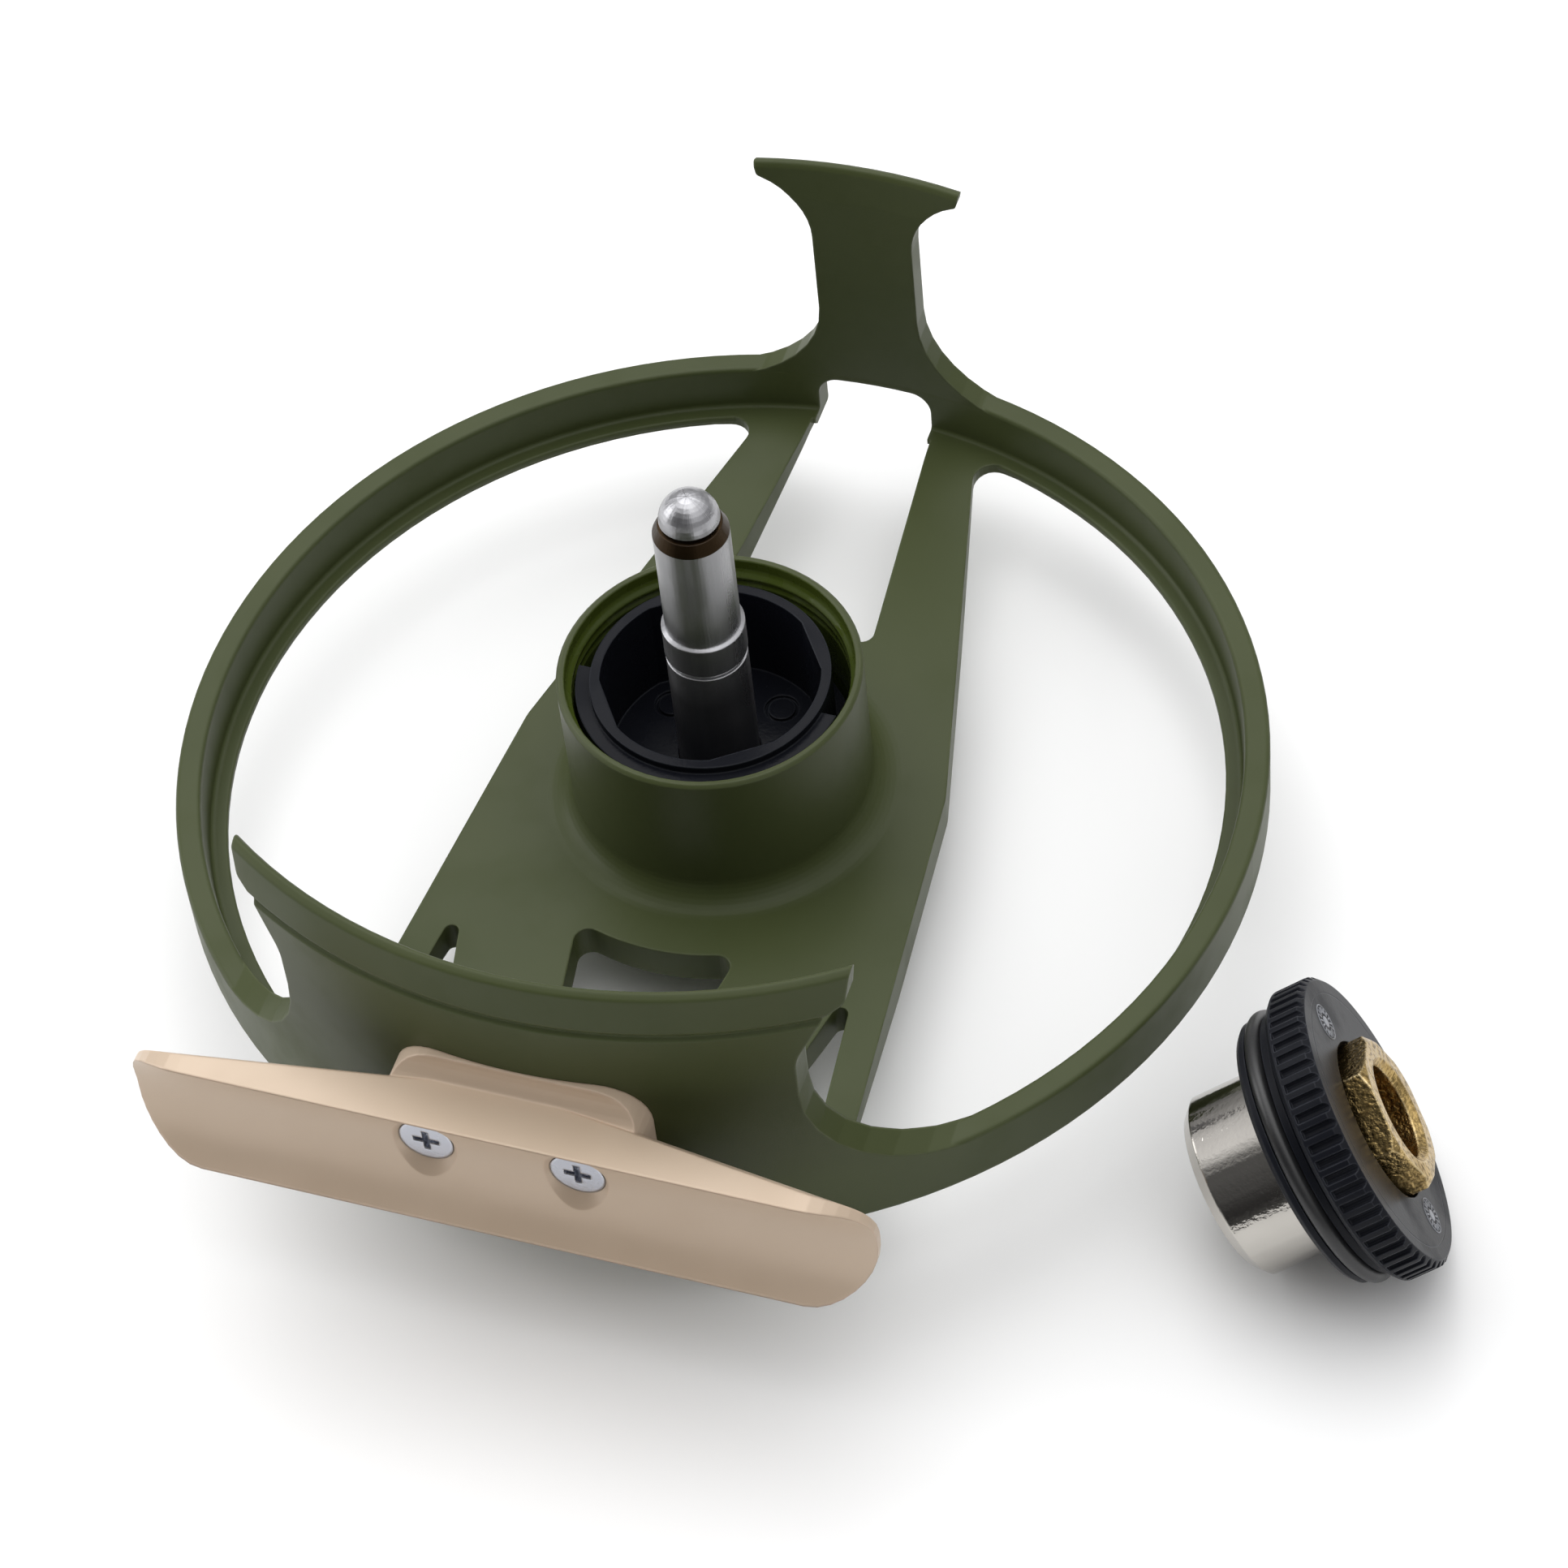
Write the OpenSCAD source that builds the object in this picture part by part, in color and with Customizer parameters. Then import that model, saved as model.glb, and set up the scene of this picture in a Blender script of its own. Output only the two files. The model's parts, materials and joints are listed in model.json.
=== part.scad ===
// Fly reel frame with its spool taken off, and the one-way clutch
// cartridge that belongs on its spindle lying beside it.
// The spindle axis is Z. The reel stands level on its drag knob, and z = 0 is
// the flat outer face of that knob. The foot side is -Y.

/* [Ring and plate] */
// Outside diameter of the ring
ring_d = 100; // [90:0.5:125]
// Height of the ring along the spindle
ring_h = 5.9; // [4.5:0.1:8]
// Wall of the ring
ring_wall = 2.3; // [1.8:0.1:3]
// Width of the ledge inside the ring
ledge_w = 1.75; // [1:0.05:3]
// Thickness of the back plate at the hub
plate_t = 3.5; // [2.6:0.1:4.5]
// How far the back plate stands behind the ring's back face
plate_drop = 2.4; // [1.6:0.1:3]
// Half width of the back plate at its waist
waist_x = 20.4; // [17:0.1:24]
// Height of the waist corner above the spindle axis
waist_y = 3; // [-2:0.5:8]
// Direction of the upper spokes where they meet the ring
spoke_angle = 76.5; // [72:0.5:79]
// Direction of the lower edge of the plate where it meets the ring
strut_angle = -59; // [-64:0.5:-54]
// Half width of the gap between the upper spokes at the ring
gap_x = 5.7; // [4.5:0.1:6.5]
// Half width of the same gap at the hub
gap_hub_x = 8.3; // [7:0.1:10]
// Height of the arch that the gap makes in the ring
arch_h = 5.1; // [3:0.1:5.5]

/* [Hub cup] */
// Outside diameter of the hub cup
cup_d = 27.7; // [26:0.1:32]
// Height of the cup's rim above the ring's back face
cup_h = 16.9; // [15:0.1:24]
// Wall of the cup at the crests of its thread
cup_wall = 1.25; // [1:0.05:1.8]
// Thickness of the floor of the cup
cup_floor_t = 2.6; // [2.2:0.1:4]
// Radius of the fillet between cup and plate
cup_fillet = 2.5; // [1:0.1:4]
// Width of the web of plate round the cup
web_w = 6.45; // [4.5:0.05:9]

/* [Pillars] */
// Height of the pillar heads above the ring's back face
pillar_h = 33.1; // [28:0.1:45]
// Half width of the narrow pillar
neck_x = 4.9; // [3.5:0.1:5.4]
// Half width of the narrow pillar's head
neck_head_x = 10.1; // [9:0.1:12]
// Half width of the foot-side pillar
foot_pillar_x = 22.9; // [20:0.1:25]
// Half width of the foot-side pillar's head
foot_head_x = 27.3; // [25:0.1:31]

/* [Foot] */
// Length of the reel foot
foot_l = 66.5; // [58:0.5:75]
// Width of the reel foot
foot_w = 14; // [12:0.1:16]
// How far the foot's outer edges stand out past the ring
foot_out = 6; // [4.6:0.1:9]
// Where the middle of the foot is along the ring, from the spindle axis
foot_x = -1.3; // [-3:0.1:3]
// Height of the foot's middle above the ring's back face
foot_z = 12.8; // [10.5:0.1:16]
// Radius of the rod trough in the foot
trough_r = 9.6; // [8:0.1:12]
// Half length of the pedestal between foot and pillar
boss_x = 11.4; // [10:0.1:15]
// Width of the pedestal
boss_w = 18.2; // [16.5:0.1:23]
// Distance between the two foot screws
screw_gap = 13.6; // [12:0.1:16]
// Thread diameter of the foot screws
screw_d = 3; // [2.5:0.1:3.5]
// Head diameter of the foot screws
screw_head_d = 4.9; // [4.5:0.1:5.6]

/* [Spindle] */
// Diameter that the spool runs on
spindle_d = 6.82; // [6:0.02:7]
// How far the collar stands out from that diameter, all round
collar_step = 0.34; // [0.2:0.02:0.5]
// Height of the collar's top edge above the ring's back face
collar_z = 23.4; // [21:0.1:28]
// Height of the spindle's shoulder above the ring's back face
shoulder_z = 35.2; // [34:0.1:46]
// How far the domed tip stands back from that diameter, all round
dome_inset = 0.69; // [0.5:0.01:1]
// Diameter of the threaded tail
tail_d = 4.8; // [4:0.1:5]

/* [Drag knob] */
// Diameter of the drag knob
knob_d = 30; // [29:0.1:36]
// Height of the drag knob
knob_h = 6.2; // [5.8:0.1:9]
// Gap between knob and plate
knob_gap = 0.4; // [0.3:0.05:1]
// Number of finger flutes
flutes = 12; // [8:1:18]
// Number of click holes
clicks = 16; // [12:1:20]

/* [Brake] */
// Gap all round between the black brake cup and the bore of the hub cup
brake_gap = 1.7; // [1.4:0.05:2.1]
// Wall of the brake cup
brake_wall = 0.9; // [0.7:0.05:1.1]
// Thickness of the brake cup's floor
brake_floor_t = 1.1; // [1:0.1:2]
// How far the brake cup's rim is below the hub cup's rim
brake_sunk = 0.9; // [0.6:0.1:2]
// Thickness of a friction washer
washer_t = 0.6; // [0.4:0.05:0.8]
// Thickness of the steel disc
disc_t = 0.5; // [0.4:0.05:0.8]
// Travel of the pressure plate
press_travel = 0.3; // [0.2:0.05:0.5]

/* [Clutch cartridge] */
// How far the ribbed flange stands back from the hub cup's outside
flange_inset = 0.35; // [-1:0.05:0.8]
// Thickness of the ribbed flange
flange_t = 3.7; // [3:0.1:5]
// Gap all round between the cartridge's neck and the bore of the hub cup
neck_gap = 0.45; // [0.4:0.05:0.8]
// Length of the neck
neck_l = 3.55; // [3:0.05:4.5]
// Gap all round between the clutch can and the brake cup's wall
can_gap = 1.65; // [1.1:0.05:2]
// Length of the can below the neck, without its bevel
can_l = 6.6; // [5:0.1:8]
// Length of the bevel at the can's closed end
can_bevel = 1; // [0.6:0.1:1.6]
// Width across flats of the hexagon drive
hex_af = 12.2; // [11.6:0.1:13.6]
// How far the hexagon stands out of the flange
hex_out = 2.1; // [1.5:0.1:5]
// Number of ribs round the flange
ribs = 60; // [36:1:60]
// Number of clutch rollers
rollers = 8; // [6:1:9]
// Distance from the ring to the middle of the cartridge that lies beside it
cart_gap = 19.4; // [18:0.1:40]
// Direction from the spindle axis in which it lies
cart_at = -21.9; // [-35:0.1:20]
// Direction in which the cartridge's axis points
cart_turn = 26; // [0:1:60]

/* [Hidden] */
$fn = 96;

// Clearances
running = 0.05;      // radial gap of a turning fit
loose = 0.1;         // radial gap of a free hole
face_gap = 0.1;      // gap between flat faces that turn past each other
past = 1;            // how far a cutting tool runs past what it cuts

// Levels along the spindle
plate_z = knob_h + knob_gap;
ring_z = plate_z + plate_drop;
plate_top = plate_z + plate_t;
cup_top = ring_z + cup_h;
cup_floor = plate_z + cup_floor_t;
pillar_top = ring_z + pillar_h;
foot_mid = ring_z + foot_z;

// Ring
ring_r = ring_d / 2;
wall_r = ring_r - ring_wall;
ledge_r = wall_r - ledge_w;
taper_r = 28;        // where the plate starts to thin
ring_tuck = 0.6;     // how far the pillars' fillets dip below the ring's top face
foot_y = ring_r + foot_out;

// Cup
cup_r = cup_d / 2;
bore_r = cup_r - cup_wall;
web_r = cup_r + web_w;
lip_r = cup_r - 0.75;
lip_h = 1.2;
thread_pitch = 1;
thread_turns = 3;

// Spindle
spindle_r = spindle_d / 2;
collar_r = spindle_r + collar_step;
collar_h = 3.4;
lower_r = collar_r - 0.05;
dome_r = spindle_r - dome_inset;
tail_r = tail_d / 2;
stem_r = 3;          // through the floor of the cup
seat_r = lower_r + 1.5;    // shoulder on the floor of the cup
seat_h = 1;
nut_h = 2.2;
nut_af = 8;
spring_lock_t = 0.5;
nut_top = plate_z - spring_lock_t;
tail_end = nut_top - nut_h - 1.9;

// Knob
knob_r = knob_d / 2;
knob_floor = 1.7;
knob_block_top = knob_floor + 3.1;
knob_room_r = 13.2;
cap_r = 9;
cap_t = 0.65;
cap_recess = 0.75;
click_r = 11.3;      // radius of the circle of click holes
click_plate_t = 0.5;
ball_r = 0.9;
pin_ring_r = 8;      // radius of the circle of push pins
pin_r = 1;
thrust_t = 0.7;
knob_nut_r = 5;
nut_gap = 0.3;

// Brake
plate_rise = 0.25;   // the pressure plate's rest height above the floor
press_t = 0.9;
press_z = cup_floor + plate_rise;
lower_z = press_z + press_t + press_travel + running;
disc_z = lower_z + washer_t + face_gap;
upper_z = disc_z + disc_t + face_gap;
hub_z = upper_z + washer_t + face_gap;
step_r = bore_r - 0.6;   // the lower bore, which holds the friction discs
step_z = hub_z - 0.2;
keys = 3;
key_w = 4;
bush_wall = 0.6;
bush_r = collar_r + 0.04;
sleeve_wall = 1.1;
sleeve_r = bush_r + bush_wall + sleeve_wall;
washer_in_r = sleeve_r + loose;
disc_in_r = sleeve_r + 0.4;
washer_out_r = step_r - 0.3;
hub_out_r = bore_r - 0.3;
sleeve_z = cup_floor + seat_h + 0.15;
hub_flange_t = 0.8;
brake_r = bore_r - brake_gap;
brake_z = hub_z + hub_flange_t;
brake_floor = brake_z + brake_floor_t;
brake_top = cup_top - brake_sunk;
skirt_r = bore_r - 0.35;
skirt_sunk = 0.8;        // how far the half skirt is below the brake cup's rim
bush_sunk = 0.6;         // how far the bush ends below the brake cup's floor
seal_r = 0.6;
seal_z = brake_z + 1.2;

// Cartridge, in its own frame: z = 0 is the flange face that seats on the cup
flange_r = cup_r - flange_inset;
neck_r = bore_r - neck_gap;
can_r = brake_r - brake_wall - can_gap;
can_wall = 0.8;
can_in_r = can_r - can_wall;
can_end = -(neck_l + can_l);
can_seat = 1;        // shoulder in the ring that the can's rim turns on
can_rim_r = can_r + 0.85;
can_rim_t = 0.6;
can_top = can_seat + face_gap + can_rim_t;
face_t = 1.3;        // thickness of the face ring
face_r = flange_r - 1.7;
face_bottom = flange_t - face_t;
hex_r = hex_af / 2 / cos(30);
face_hole_r = hex_r + 0.25;
drive_bush_r = collar_r + running;
drive_bore_r = drive_bush_r + 0.5;
sleeve_out_r = drive_bore_r + 0.7;
drive_bottom = can_end - can_bevel + 1.5;
roller_room = 0.55;  // what the rollers leave free between sleeve and can
roller_r = (can_in_r - sleeve_out_r - roller_room) / 2;
roller_ring_r = sleeve_out_r + roller_r + loose;
cage_top = can_top - 0.5;
cage_in_r = sleeve_out_r + 0.4;
cage_out_r = can_in_r - 0.3;
cart_tilt = atan((flange_r - can_r) / (neck_l + can_l));

function unit(v) = v / norm(v);

// The arc that rounds the corner b between a and c
function corner_arc(a, b, c, r, n) =
    let (
        u = unit([a.x - b.x, a.y - b.y]),
        v = unit([c.x - b.x, c.y - b.y]),
        half = acos(u * v) / 2,
        middle = [b.x, b.y] + unit(u + v) * r / sin(half),
        from = [b.x, b.y] + u * r / tan(half) - middle,
        to = [b.x, b.y] + v * r / tan(half) - middle,
        start = atan2(from.y, from.x),
        sweep = (atan2(to.y, to.x) - start + 540) % 360 - 180
    )
    [for (i = [0:n]) middle + r * [cos(start + sweep * i / n), sin(start + sweep * i / n)]];

// An outline from corners given as [x, y, radius]
function rounded(corners, n = 8) =
    let (count = len(corners))
    [
        for (i = [0:count - 1])
            let (b = corners[i])
            each b[2] == 0
                ? [[b.x, b.y]]
                : corner_arc(corners[(i + count - 1) % count], b, corners[(i + 1) % count], b[2], n)
    ];

// Corners on the right-hand side, followed by their mirror images
function both_sides(right) =
    concat(right, [for (i = [len(right) - 1:-1:0]) [-right[i].x, right[i].y, right[i][2]]]);

// Corners along a circle
function round_corners(r, from, to, n) =
    [for (i = [0:n]) let (a = from + (to - from) * i / n) [r * cos(a), r * sin(a), 0]];

function polar(r, a, corner) = [r * cos(a), r * sin(a), corner];

module around(count, r) {
    for (i = [0:count - 1]) rotate([0, 0, i * 360 / count]) translate([r, 0, 0]) children();
}

module tube(r, hole, h) {
    difference() {
        cylinder(r = r, h = h);
        translate([0, 0, -past]) cylinder(r = hole, h = h + 2 * past);
    }
}

module on_face(y0, y1) {
    // Extrudes an outline drawn in X and Z from y0 to y1
    translate([0, y1, 0]) rotate([90, 0, 0]) linear_extrude(y1 - y0) children();
}

// ---------------------------------------------------------------- frame

module ring_body() {
    edge = 0.4;
    back_bevel = 0.5;
    rotate_extrude()
        polygon(rounded([
            [ring_r, ring_z, edge],
            [ring_r, ring_z + ring_h, edge],
            [wall_r, ring_z + ring_h, edge],
            [wall_r - 0.2, plate_top, edge],
            [ledge_r, plate_top, 0.2],
            [ledge_r, ring_z + back_bevel, 0],
            [ledge_r + back_bevel, ring_z, 0]
        ], 4));
}

// The wide opening on the right, between the plate and the ring
module side_window() {
    corner = 2;
    lead = 6;
    polygon(rounded(concat(
        [
            polar(ledge_r + 0.1, spoke_angle, corner),
            [waist_x, waist_y, 8],
            polar(ledge_r + 0.1, strut_angle, corner)
        ],
        round_corners(ledge_r + 0.25, strut_angle + lead, spoke_angle - lead, 40)
    )));
}

// The gap between the two upper spokes
module spoke_gap() {
    hub_edge = asin(gap_hub_x / web_r);
    polygon(rounded(concat(
        round_corners(web_r, 90 + hub_edge - 6, 90 - hub_edge + 6, 10),
        [
            polar(web_r, 90 - hub_edge, 1.2),
            [gap_x + 0.5, ledge_r - 3, 12],
            [gap_x, ring_r + past, 0],
            [-gap_x, ring_r + past, 0],
            [-gap_x - 0.5, ledge_r - 3, 12],
            polar(web_r, 90 + hub_edge, 1.2)
        ]
    )));
}

// The slot between the two middle struts, below the hub
module middle_slot() {
    half_angle = 22.3;
    end_x = 4.6;
    end_y = -(ledge_r - 8);
    polygon(rounded(concat(
        round_corners(web_r, -90 - half_angle + 6, -90 + half_angle - 6, 10),
        [
            polar(web_r, -90 + half_angle, 1.3),
            [end_x, end_y, 1.3],
            [-end_x, end_y, 1.3],
            polar(web_r, -90 - half_angle, 1.3)
        ]
    )));
}

// The three-cornered slot beside it, on the right
module strut_slot() {
    edge = polar(ledge_r, strut_angle, 0);
    rail = 3.2;
    tip = [waist_x - 1.7, -18.4, 0.7];
    polygon(rounded([
        tip,
        [edge.x - rail, edge.y + 3, 1.5],
        [edge.x - rail - 6.6, edge.y - 1, 1.5]
    ]));
}

module plate_body() {
    difference() {
        intersection() {
            translate([0, 0, plate_z]) linear_extrude(plate_t) difference() {
                circle(r = ledge_r + 0.5);
                side_window();
                mirror([1, 0]) side_window();
                spoke_gap();
                middle_slot();
                strut_slot();
                mirror([1, 0]) strut_slot();
            }
            rotate_extrude() polygon([
                [0, plate_z],
                [taper_r, plate_z],
                [ledge_r - 0.5, ring_z],
                [ring_r, ring_z],
                [ring_r, plate_top],
                [0, plate_top]
            ]);
        }
        translate([0, 0, plate_z - past]) cylinder(r = bore_r, h = plate_t + 2 * past);
    }
}

module cup_body() {
    steps = 8;
    fillet = [
        for (i = [0:steps])
            let (a = 270 - 90 * i / steps)
            [cup_r + cup_fillet * (1 + cos(a)), plate_top + cup_fillet * (1 + sin(a))]
    ];
    thread = [
        for (i = [0:thread_turns - 1])
            let (z = cup_top - lip_h - 0.3 - i * thread_pitch)
            each [[bore_r + 0.35, z], [bore_r, z - thread_pitch * 0.35], [bore_r, z - thread_pitch * 0.65]]
    ];
    rotate_extrude() polygon(concat(
        [[stem_r + loose, plate_z], [cup_r + cup_fillet, plate_z]],
        fillet,
        [
            [cup_r, cup_top - 0.3],
            [cup_r - 0.3, cup_top],
            [lip_r + 0.1, cup_top],
            [lip_r, cup_top - 0.1],
            [lip_r, cup_top - lip_h]
        ],
        thread,
        [[bore_r, step_z], [step_r, step_z], [step_r, cup_floor], [stem_r + loose, cup_floor]]
    ));
}

// Keyways in the lower bore, which hold the steel disc's ears
module keyways(play) {
    for (i = [0:keys - 1]) rotate([0, 0, i * 360 / keys]) translate([step_r - 1.2, -key_w / 2 - play, 0])
        square([bore_r - step_r + 1.2, key_w + 2 * play]);
}

// Wall of a pillar, from the ring up to its crowned head
module pillar_wall() {
    groove_z = pillar_top - 4.9;
    rotate_extrude() polygon(rounded([
        [ring_r, ring_z + ring_h - 2, 0],
        [ring_r, groove_z, 0.2],
        [ring_r - 0.4, groove_z + 0.3, 0.2],
        [ring_r - 0.1, groove_z + 0.9, 0.2],
        [ring_r - 0.7, pillar_top - 0.4, 0.4],
        [wall_r + 0.8, pillar_top, 0.4],
        [wall_r + 0.4, pillar_top - 0.6, 0.4],
        [wall_r, pillar_top - 4, 1],
        [wall_r, ring_z + ring_h - 2, 0]
    ], 4));
}

module narrow_pillar_outline() {
    base = ring_z + ring_h - ring_tuck;
    flare = 9.5;
    above = pillar_top + past;
    polygon(rounded(both_sides([
        [neck_x + flare + 2, base - 1, 0],
        [neck_x + flare + 2, base, 0],
        [neck_x, base, flare],
        [neck_x, pillar_top - 3.9, 8],
        [neck_head_x - 0.4, pillar_top - 1.5, 0.6],
        [neck_head_x + 0.1, above, 0]
    ])));
}

module foot_pillar_outline() {
    base = ring_z + ring_h - ring_tuck;
    flare = 14;
    above = pillar_top + past;
    polygon(rounded(both_sides([
        [foot_pillar_x + flare + 2, base - 1, 0],
        [foot_pillar_x + flare + 2, base, 0],
        [foot_pillar_x, base, flare],
        [foot_pillar_x, pillar_top - 9.2, 5],
        [foot_head_x - 2, pillar_top - 4.2, 1],
        [foot_head_x - 0.5, pillar_top - 3.2, 0.8],
        [foot_head_x, above, 0]
    ])));
}

module foot_holes(r) {
    for (side = [-1, 1])
        translate([foot_x + side * screw_gap / 2, -wall_r + 4, foot_mid])
            rotate([90, 0, 0]) cylinder(r = r, h = foot_y);
}

module reel_frame() {
    color("darkolivegreen") difference() {
        union() {
            ring_body();
            plate_body();
            cup_body();
            intersection() {
                pillar_wall();
                on_face(-ring_r - past, 0) foot_pillar_outline();
            }
            intersection() {
                pillar_wall();
                on_face(0, ring_r + past) narrow_pillar_outline();
            }
        }
        on_face(ledge_r - 1, ring_r + past) polygon(rounded([
            [gap_x, plate_z - past, 0],
            [gap_x, ring_z + arch_h, 2],
            [-gap_x, ring_z + arch_h, 2],
            [-gap_x, plate_z - past, 0]
        ]));
        foot_holes(screw_d / 2);
        translate([0, 0, plate_z - past]) around(3, pin_ring_r)
            cylinder(r = pin_r + loose, h = cup_floor_t + 2 * past);
        translate([0, 0, cup_floor + plate_rise + press_t]) linear_extrude(step_z - cup_floor) intersection() {
            keyways(0.15);
            circle(r = bore_r - 0.05);
        }
    }
}

// ---------------------------------------------------------------- foot

foot_crown_r = 10.5;
foot_taper = 7.6;
trough_sag = trough_r - sqrt(trough_r * trough_r - foot_w * foot_w / 4);
trough_y = -foot_y + trough_sag;
crown_sag = foot_crown_r - sqrt(foot_crown_r * foot_crown_r - foot_w * foot_w / 4);
crown_y = -foot_y + 5.6 + crown_sag;
head_face_y = trough_y + 0.3;
head_h = 1.5;

// Half of the foot's body, a bar with a crowned back that tapers to its end
module foot_half() {
    intersection() {
        translate([0, crown_y, foot_mid]) rotate([0, 0, -foot_taper]) translate([0, -foot_crown_r, 0])
            rotate([0, 90, 0]) translate([0, 0, -foot_w]) cylinder(r = foot_crown_r, h = foot_l + foot_w);
        translate([0, -foot_y, 0]) cube([foot_l, foot_y, foot_mid + foot_w]);
    }
}

// Pedestal that spreads from the foot to the pillar in a hollow curve
module foot_boss() {
    steps = 8;
    edge = boss_w / 2;
    curve = edge - foot_w / 2 + 0.8;
    face = -ring_r - 0.2;
    hollow = [
        for (i = [0:steps])
            let (a = -85 * i / steps)
            [face - curve + curve * cos(a), edge + curve * sin(a)]
    ];
    intersection() {
        on_face(-foot_y, 0) translate([0, foot_mid])
            polygon(rounded(both_sides([[boss_x, edge, 4.5], [boss_x, -edge, 4.5]])));
        translate([-foot_l / 2, 0, foot_mid]) rotate([90, 0, 90]) linear_extrude(foot_l) polygon(concat(
            [[-ring_r + 5, edge]],
            hollow,
            [[trough_y, edge - curve], [trough_y, -edge + curve]],
            [for (i = [steps:-1:0]) [hollow[i].x, -hollow[i].y]],
            [[-ring_r + 5, -edge]]
        ));
    }
}

module reel_foot() {
    color("tan") difference() {
        union() {
            translate([foot_x, 0, 0]) intersection() {
                union() {
                    foot_half();
                    mirror([1, 0, 0]) foot_half();
                }
                on_face(-foot_y, 0) translate([0, foot_mid])
                    polygon(rounded(both_sides([[foot_l / 2, foot_w / 2, 6], [foot_l / 2, -foot_w / 2, 6]])));
            }
            foot_boss();
        }
        translate([foot_x - foot_l, trough_y - trough_r, foot_mid]) rotate([0, 90, 0])
            cylinder(r = trough_r, h = 2 * foot_l);
        translate([0, 0, ring_z - past]) cylinder(r = ring_r, h = pillar_h);
        foot_holes(screw_d / 2 + loose);
        for (side = [-1, 1])
            translate([foot_x + side * screw_gap / 2, 0, foot_mid]) rotate([-90, 0, 0]) {
                translate([0, 0, head_face_y])
                    cylinder(r1 = screw_head_d / 2 + loose, r2 = screw_d / 2 + loose, h = head_h);
                translate([0, 0, head_face_y - 3])
                    cylinder(r1 = screw_head_d / 2 + 3.4, r2 = screw_head_d / 2 + loose, h = 3);
            }
    }
}

module foot_screws() {
    color("silver") for (side = [-1, 1])
        translate([foot_x + side * screw_gap / 2, 0, foot_mid]) rotate([-90, 0, 0]) difference() {
            union() {
                translate([0, 0, head_face_y]) cylinder(r1 = screw_head_d / 2, r2 = screw_d / 2, h = head_h);
                translate([0, 0, head_face_y + head_h])
                    cylinder(r = screw_d / 2, h = -wall_r + 0.6 - head_face_y - head_h);
            }
            for (turn = [0, 90]) rotate([0, 0, turn]) translate([-1.2, -0.3, head_face_y - past])
                cube([2.4, 0.6, past + 0.8]);
        }
}

// ---------------------------------------------------------------- spindle

module spindle() {
    shoulder = ring_z + shoulder_z;
    collar = ring_z + collar_z;
    dome_z = shoulder + 1.6;
    steps = 10;
    dome = [
        for (i = [0:steps])
            let (a = 90 * i / steps)
            [dome_r * cos(a), dome_z + dome_r * sin(a)]
    ];
    color("lightsteelblue") rotate_extrude() polygon(concat(
        [
            [0, tail_end],
            [tail_r - 0.4, tail_end],
            [tail_r, tail_end + 0.4],
            [tail_r, plate_z],
            [stem_r, plate_z],
            [stem_r, cup_floor],
            [seat_r, cup_floor],
            [seat_r, cup_floor + seat_h],
            [lower_r, cup_floor + seat_h],
            [lower_r, collar - collar_h - 0.6],
            [collar_r - 0.35, collar - collar_h - 0.5],
            [collar_r - 0.35, collar - collar_h - 0.1],
            [collar_r, collar - collar_h],
            [collar_r, collar - 0.2],
            [spindle_r, collar],
            [spindle_r, shoulder],
            [dome_r + 0.15, shoulder + 1.1],
            [dome_r - 0.4, shoulder + 1.2],
            [dome_r - 0.4, dome_z - 0.1]
        ],
        dome
    ));
}

module spindle_nut() {
    color("silver") translate([0, 0, nut_top - nut_h]) difference() {
        cylinder(r = nut_af / 2 / cos(30), h = nut_h, $fn = 6);
        translate([0, 0, -past]) cylinder(r = tail_r, h = nut_h + 2 * past);
    }
}

module lock_washer() {
    color("silver") translate([0, 0, nut_top]) tube(nut_af / 2, tail_r + 0.15, spring_lock_t);
}

module click_plate() {
    color("silver") translate([0, 0, plate_z - click_plate_t]) difference() {
        tube(click_r + 1.3, click_r - 1.3, click_plate_t);
        translate([0, 0, -past]) around(clicks, click_r) cylinder(r = 0.6, h = click_plate_t + 2 * past);
    }
}

// ---------------------------------------------------------------- drag knob

module drag_knob() {
    flute_r = 2.6;
    color("dimgray") difference() {
        rotate_extrude() polygon([
            [0, cap_recess],
            [cap_r + loose, cap_recess],
            [cap_r + loose, 0],
            [knob_r - 0.9, 0],
            [knob_r, 0.9],
            [knob_r, knob_h - 0.7],
            [knob_r - 0.7, knob_h],
            [knob_room_r, knob_h],
            [knob_room_r, knob_block_top],
            [pin_ring_r - 1.8, knob_block_top],
            [pin_ring_r - 1.8, knob_floor],
            [0, knob_floor]
        ]);
        translate([0, 0, -past]) around(flutes, knob_r + flute_r - 0.7)
            cylinder(r = flute_r, h = knob_h + 2 * past, $fn = 32);
        translate([pin_ring_r, 0, 0]) translate([click_r - pin_ring_r, 0, knob_floor + 0.4])
            cylinder(r = ball_r + loose, h = knob_h);
        translate([0, 0, -past]) around(3, 6) cylinder(r = 0.6, h = knob_floor + 2 * past);
    }
}

module knob_cap() {
    color("darkolivegreen") translate([0, 0, cap_recess - cap_t]) difference() {
        cylinder(r = cap_r, h = cap_t);
        translate([0, 0, -past]) around(3, 6) cylinder(r = 0.7, h = cap_t + 2 * past);
        translate([0, 0, -past]) around(3, 6) translate([0, 0, past]) cylinder(r1 = 1.25, r2 = 0.7, h = 0.45);
    }
}

module knob_screws() {
    color("silver") translate([0, 0, cap_recess - cap_t]) around(3, 6) difference() {
        union() {
            cylinder(r1 = 1.15, r2 = 0.6, h = 0.4);
            translate([0, 0, 0.4]) cylinder(r = 0.6, h = knob_floor - cap_recess + cap_t - 0.5);
        }
        translate([-0.6, -0.12, -past]) cube([1.2, 0.24, past + 0.2]);
    }
}

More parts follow.
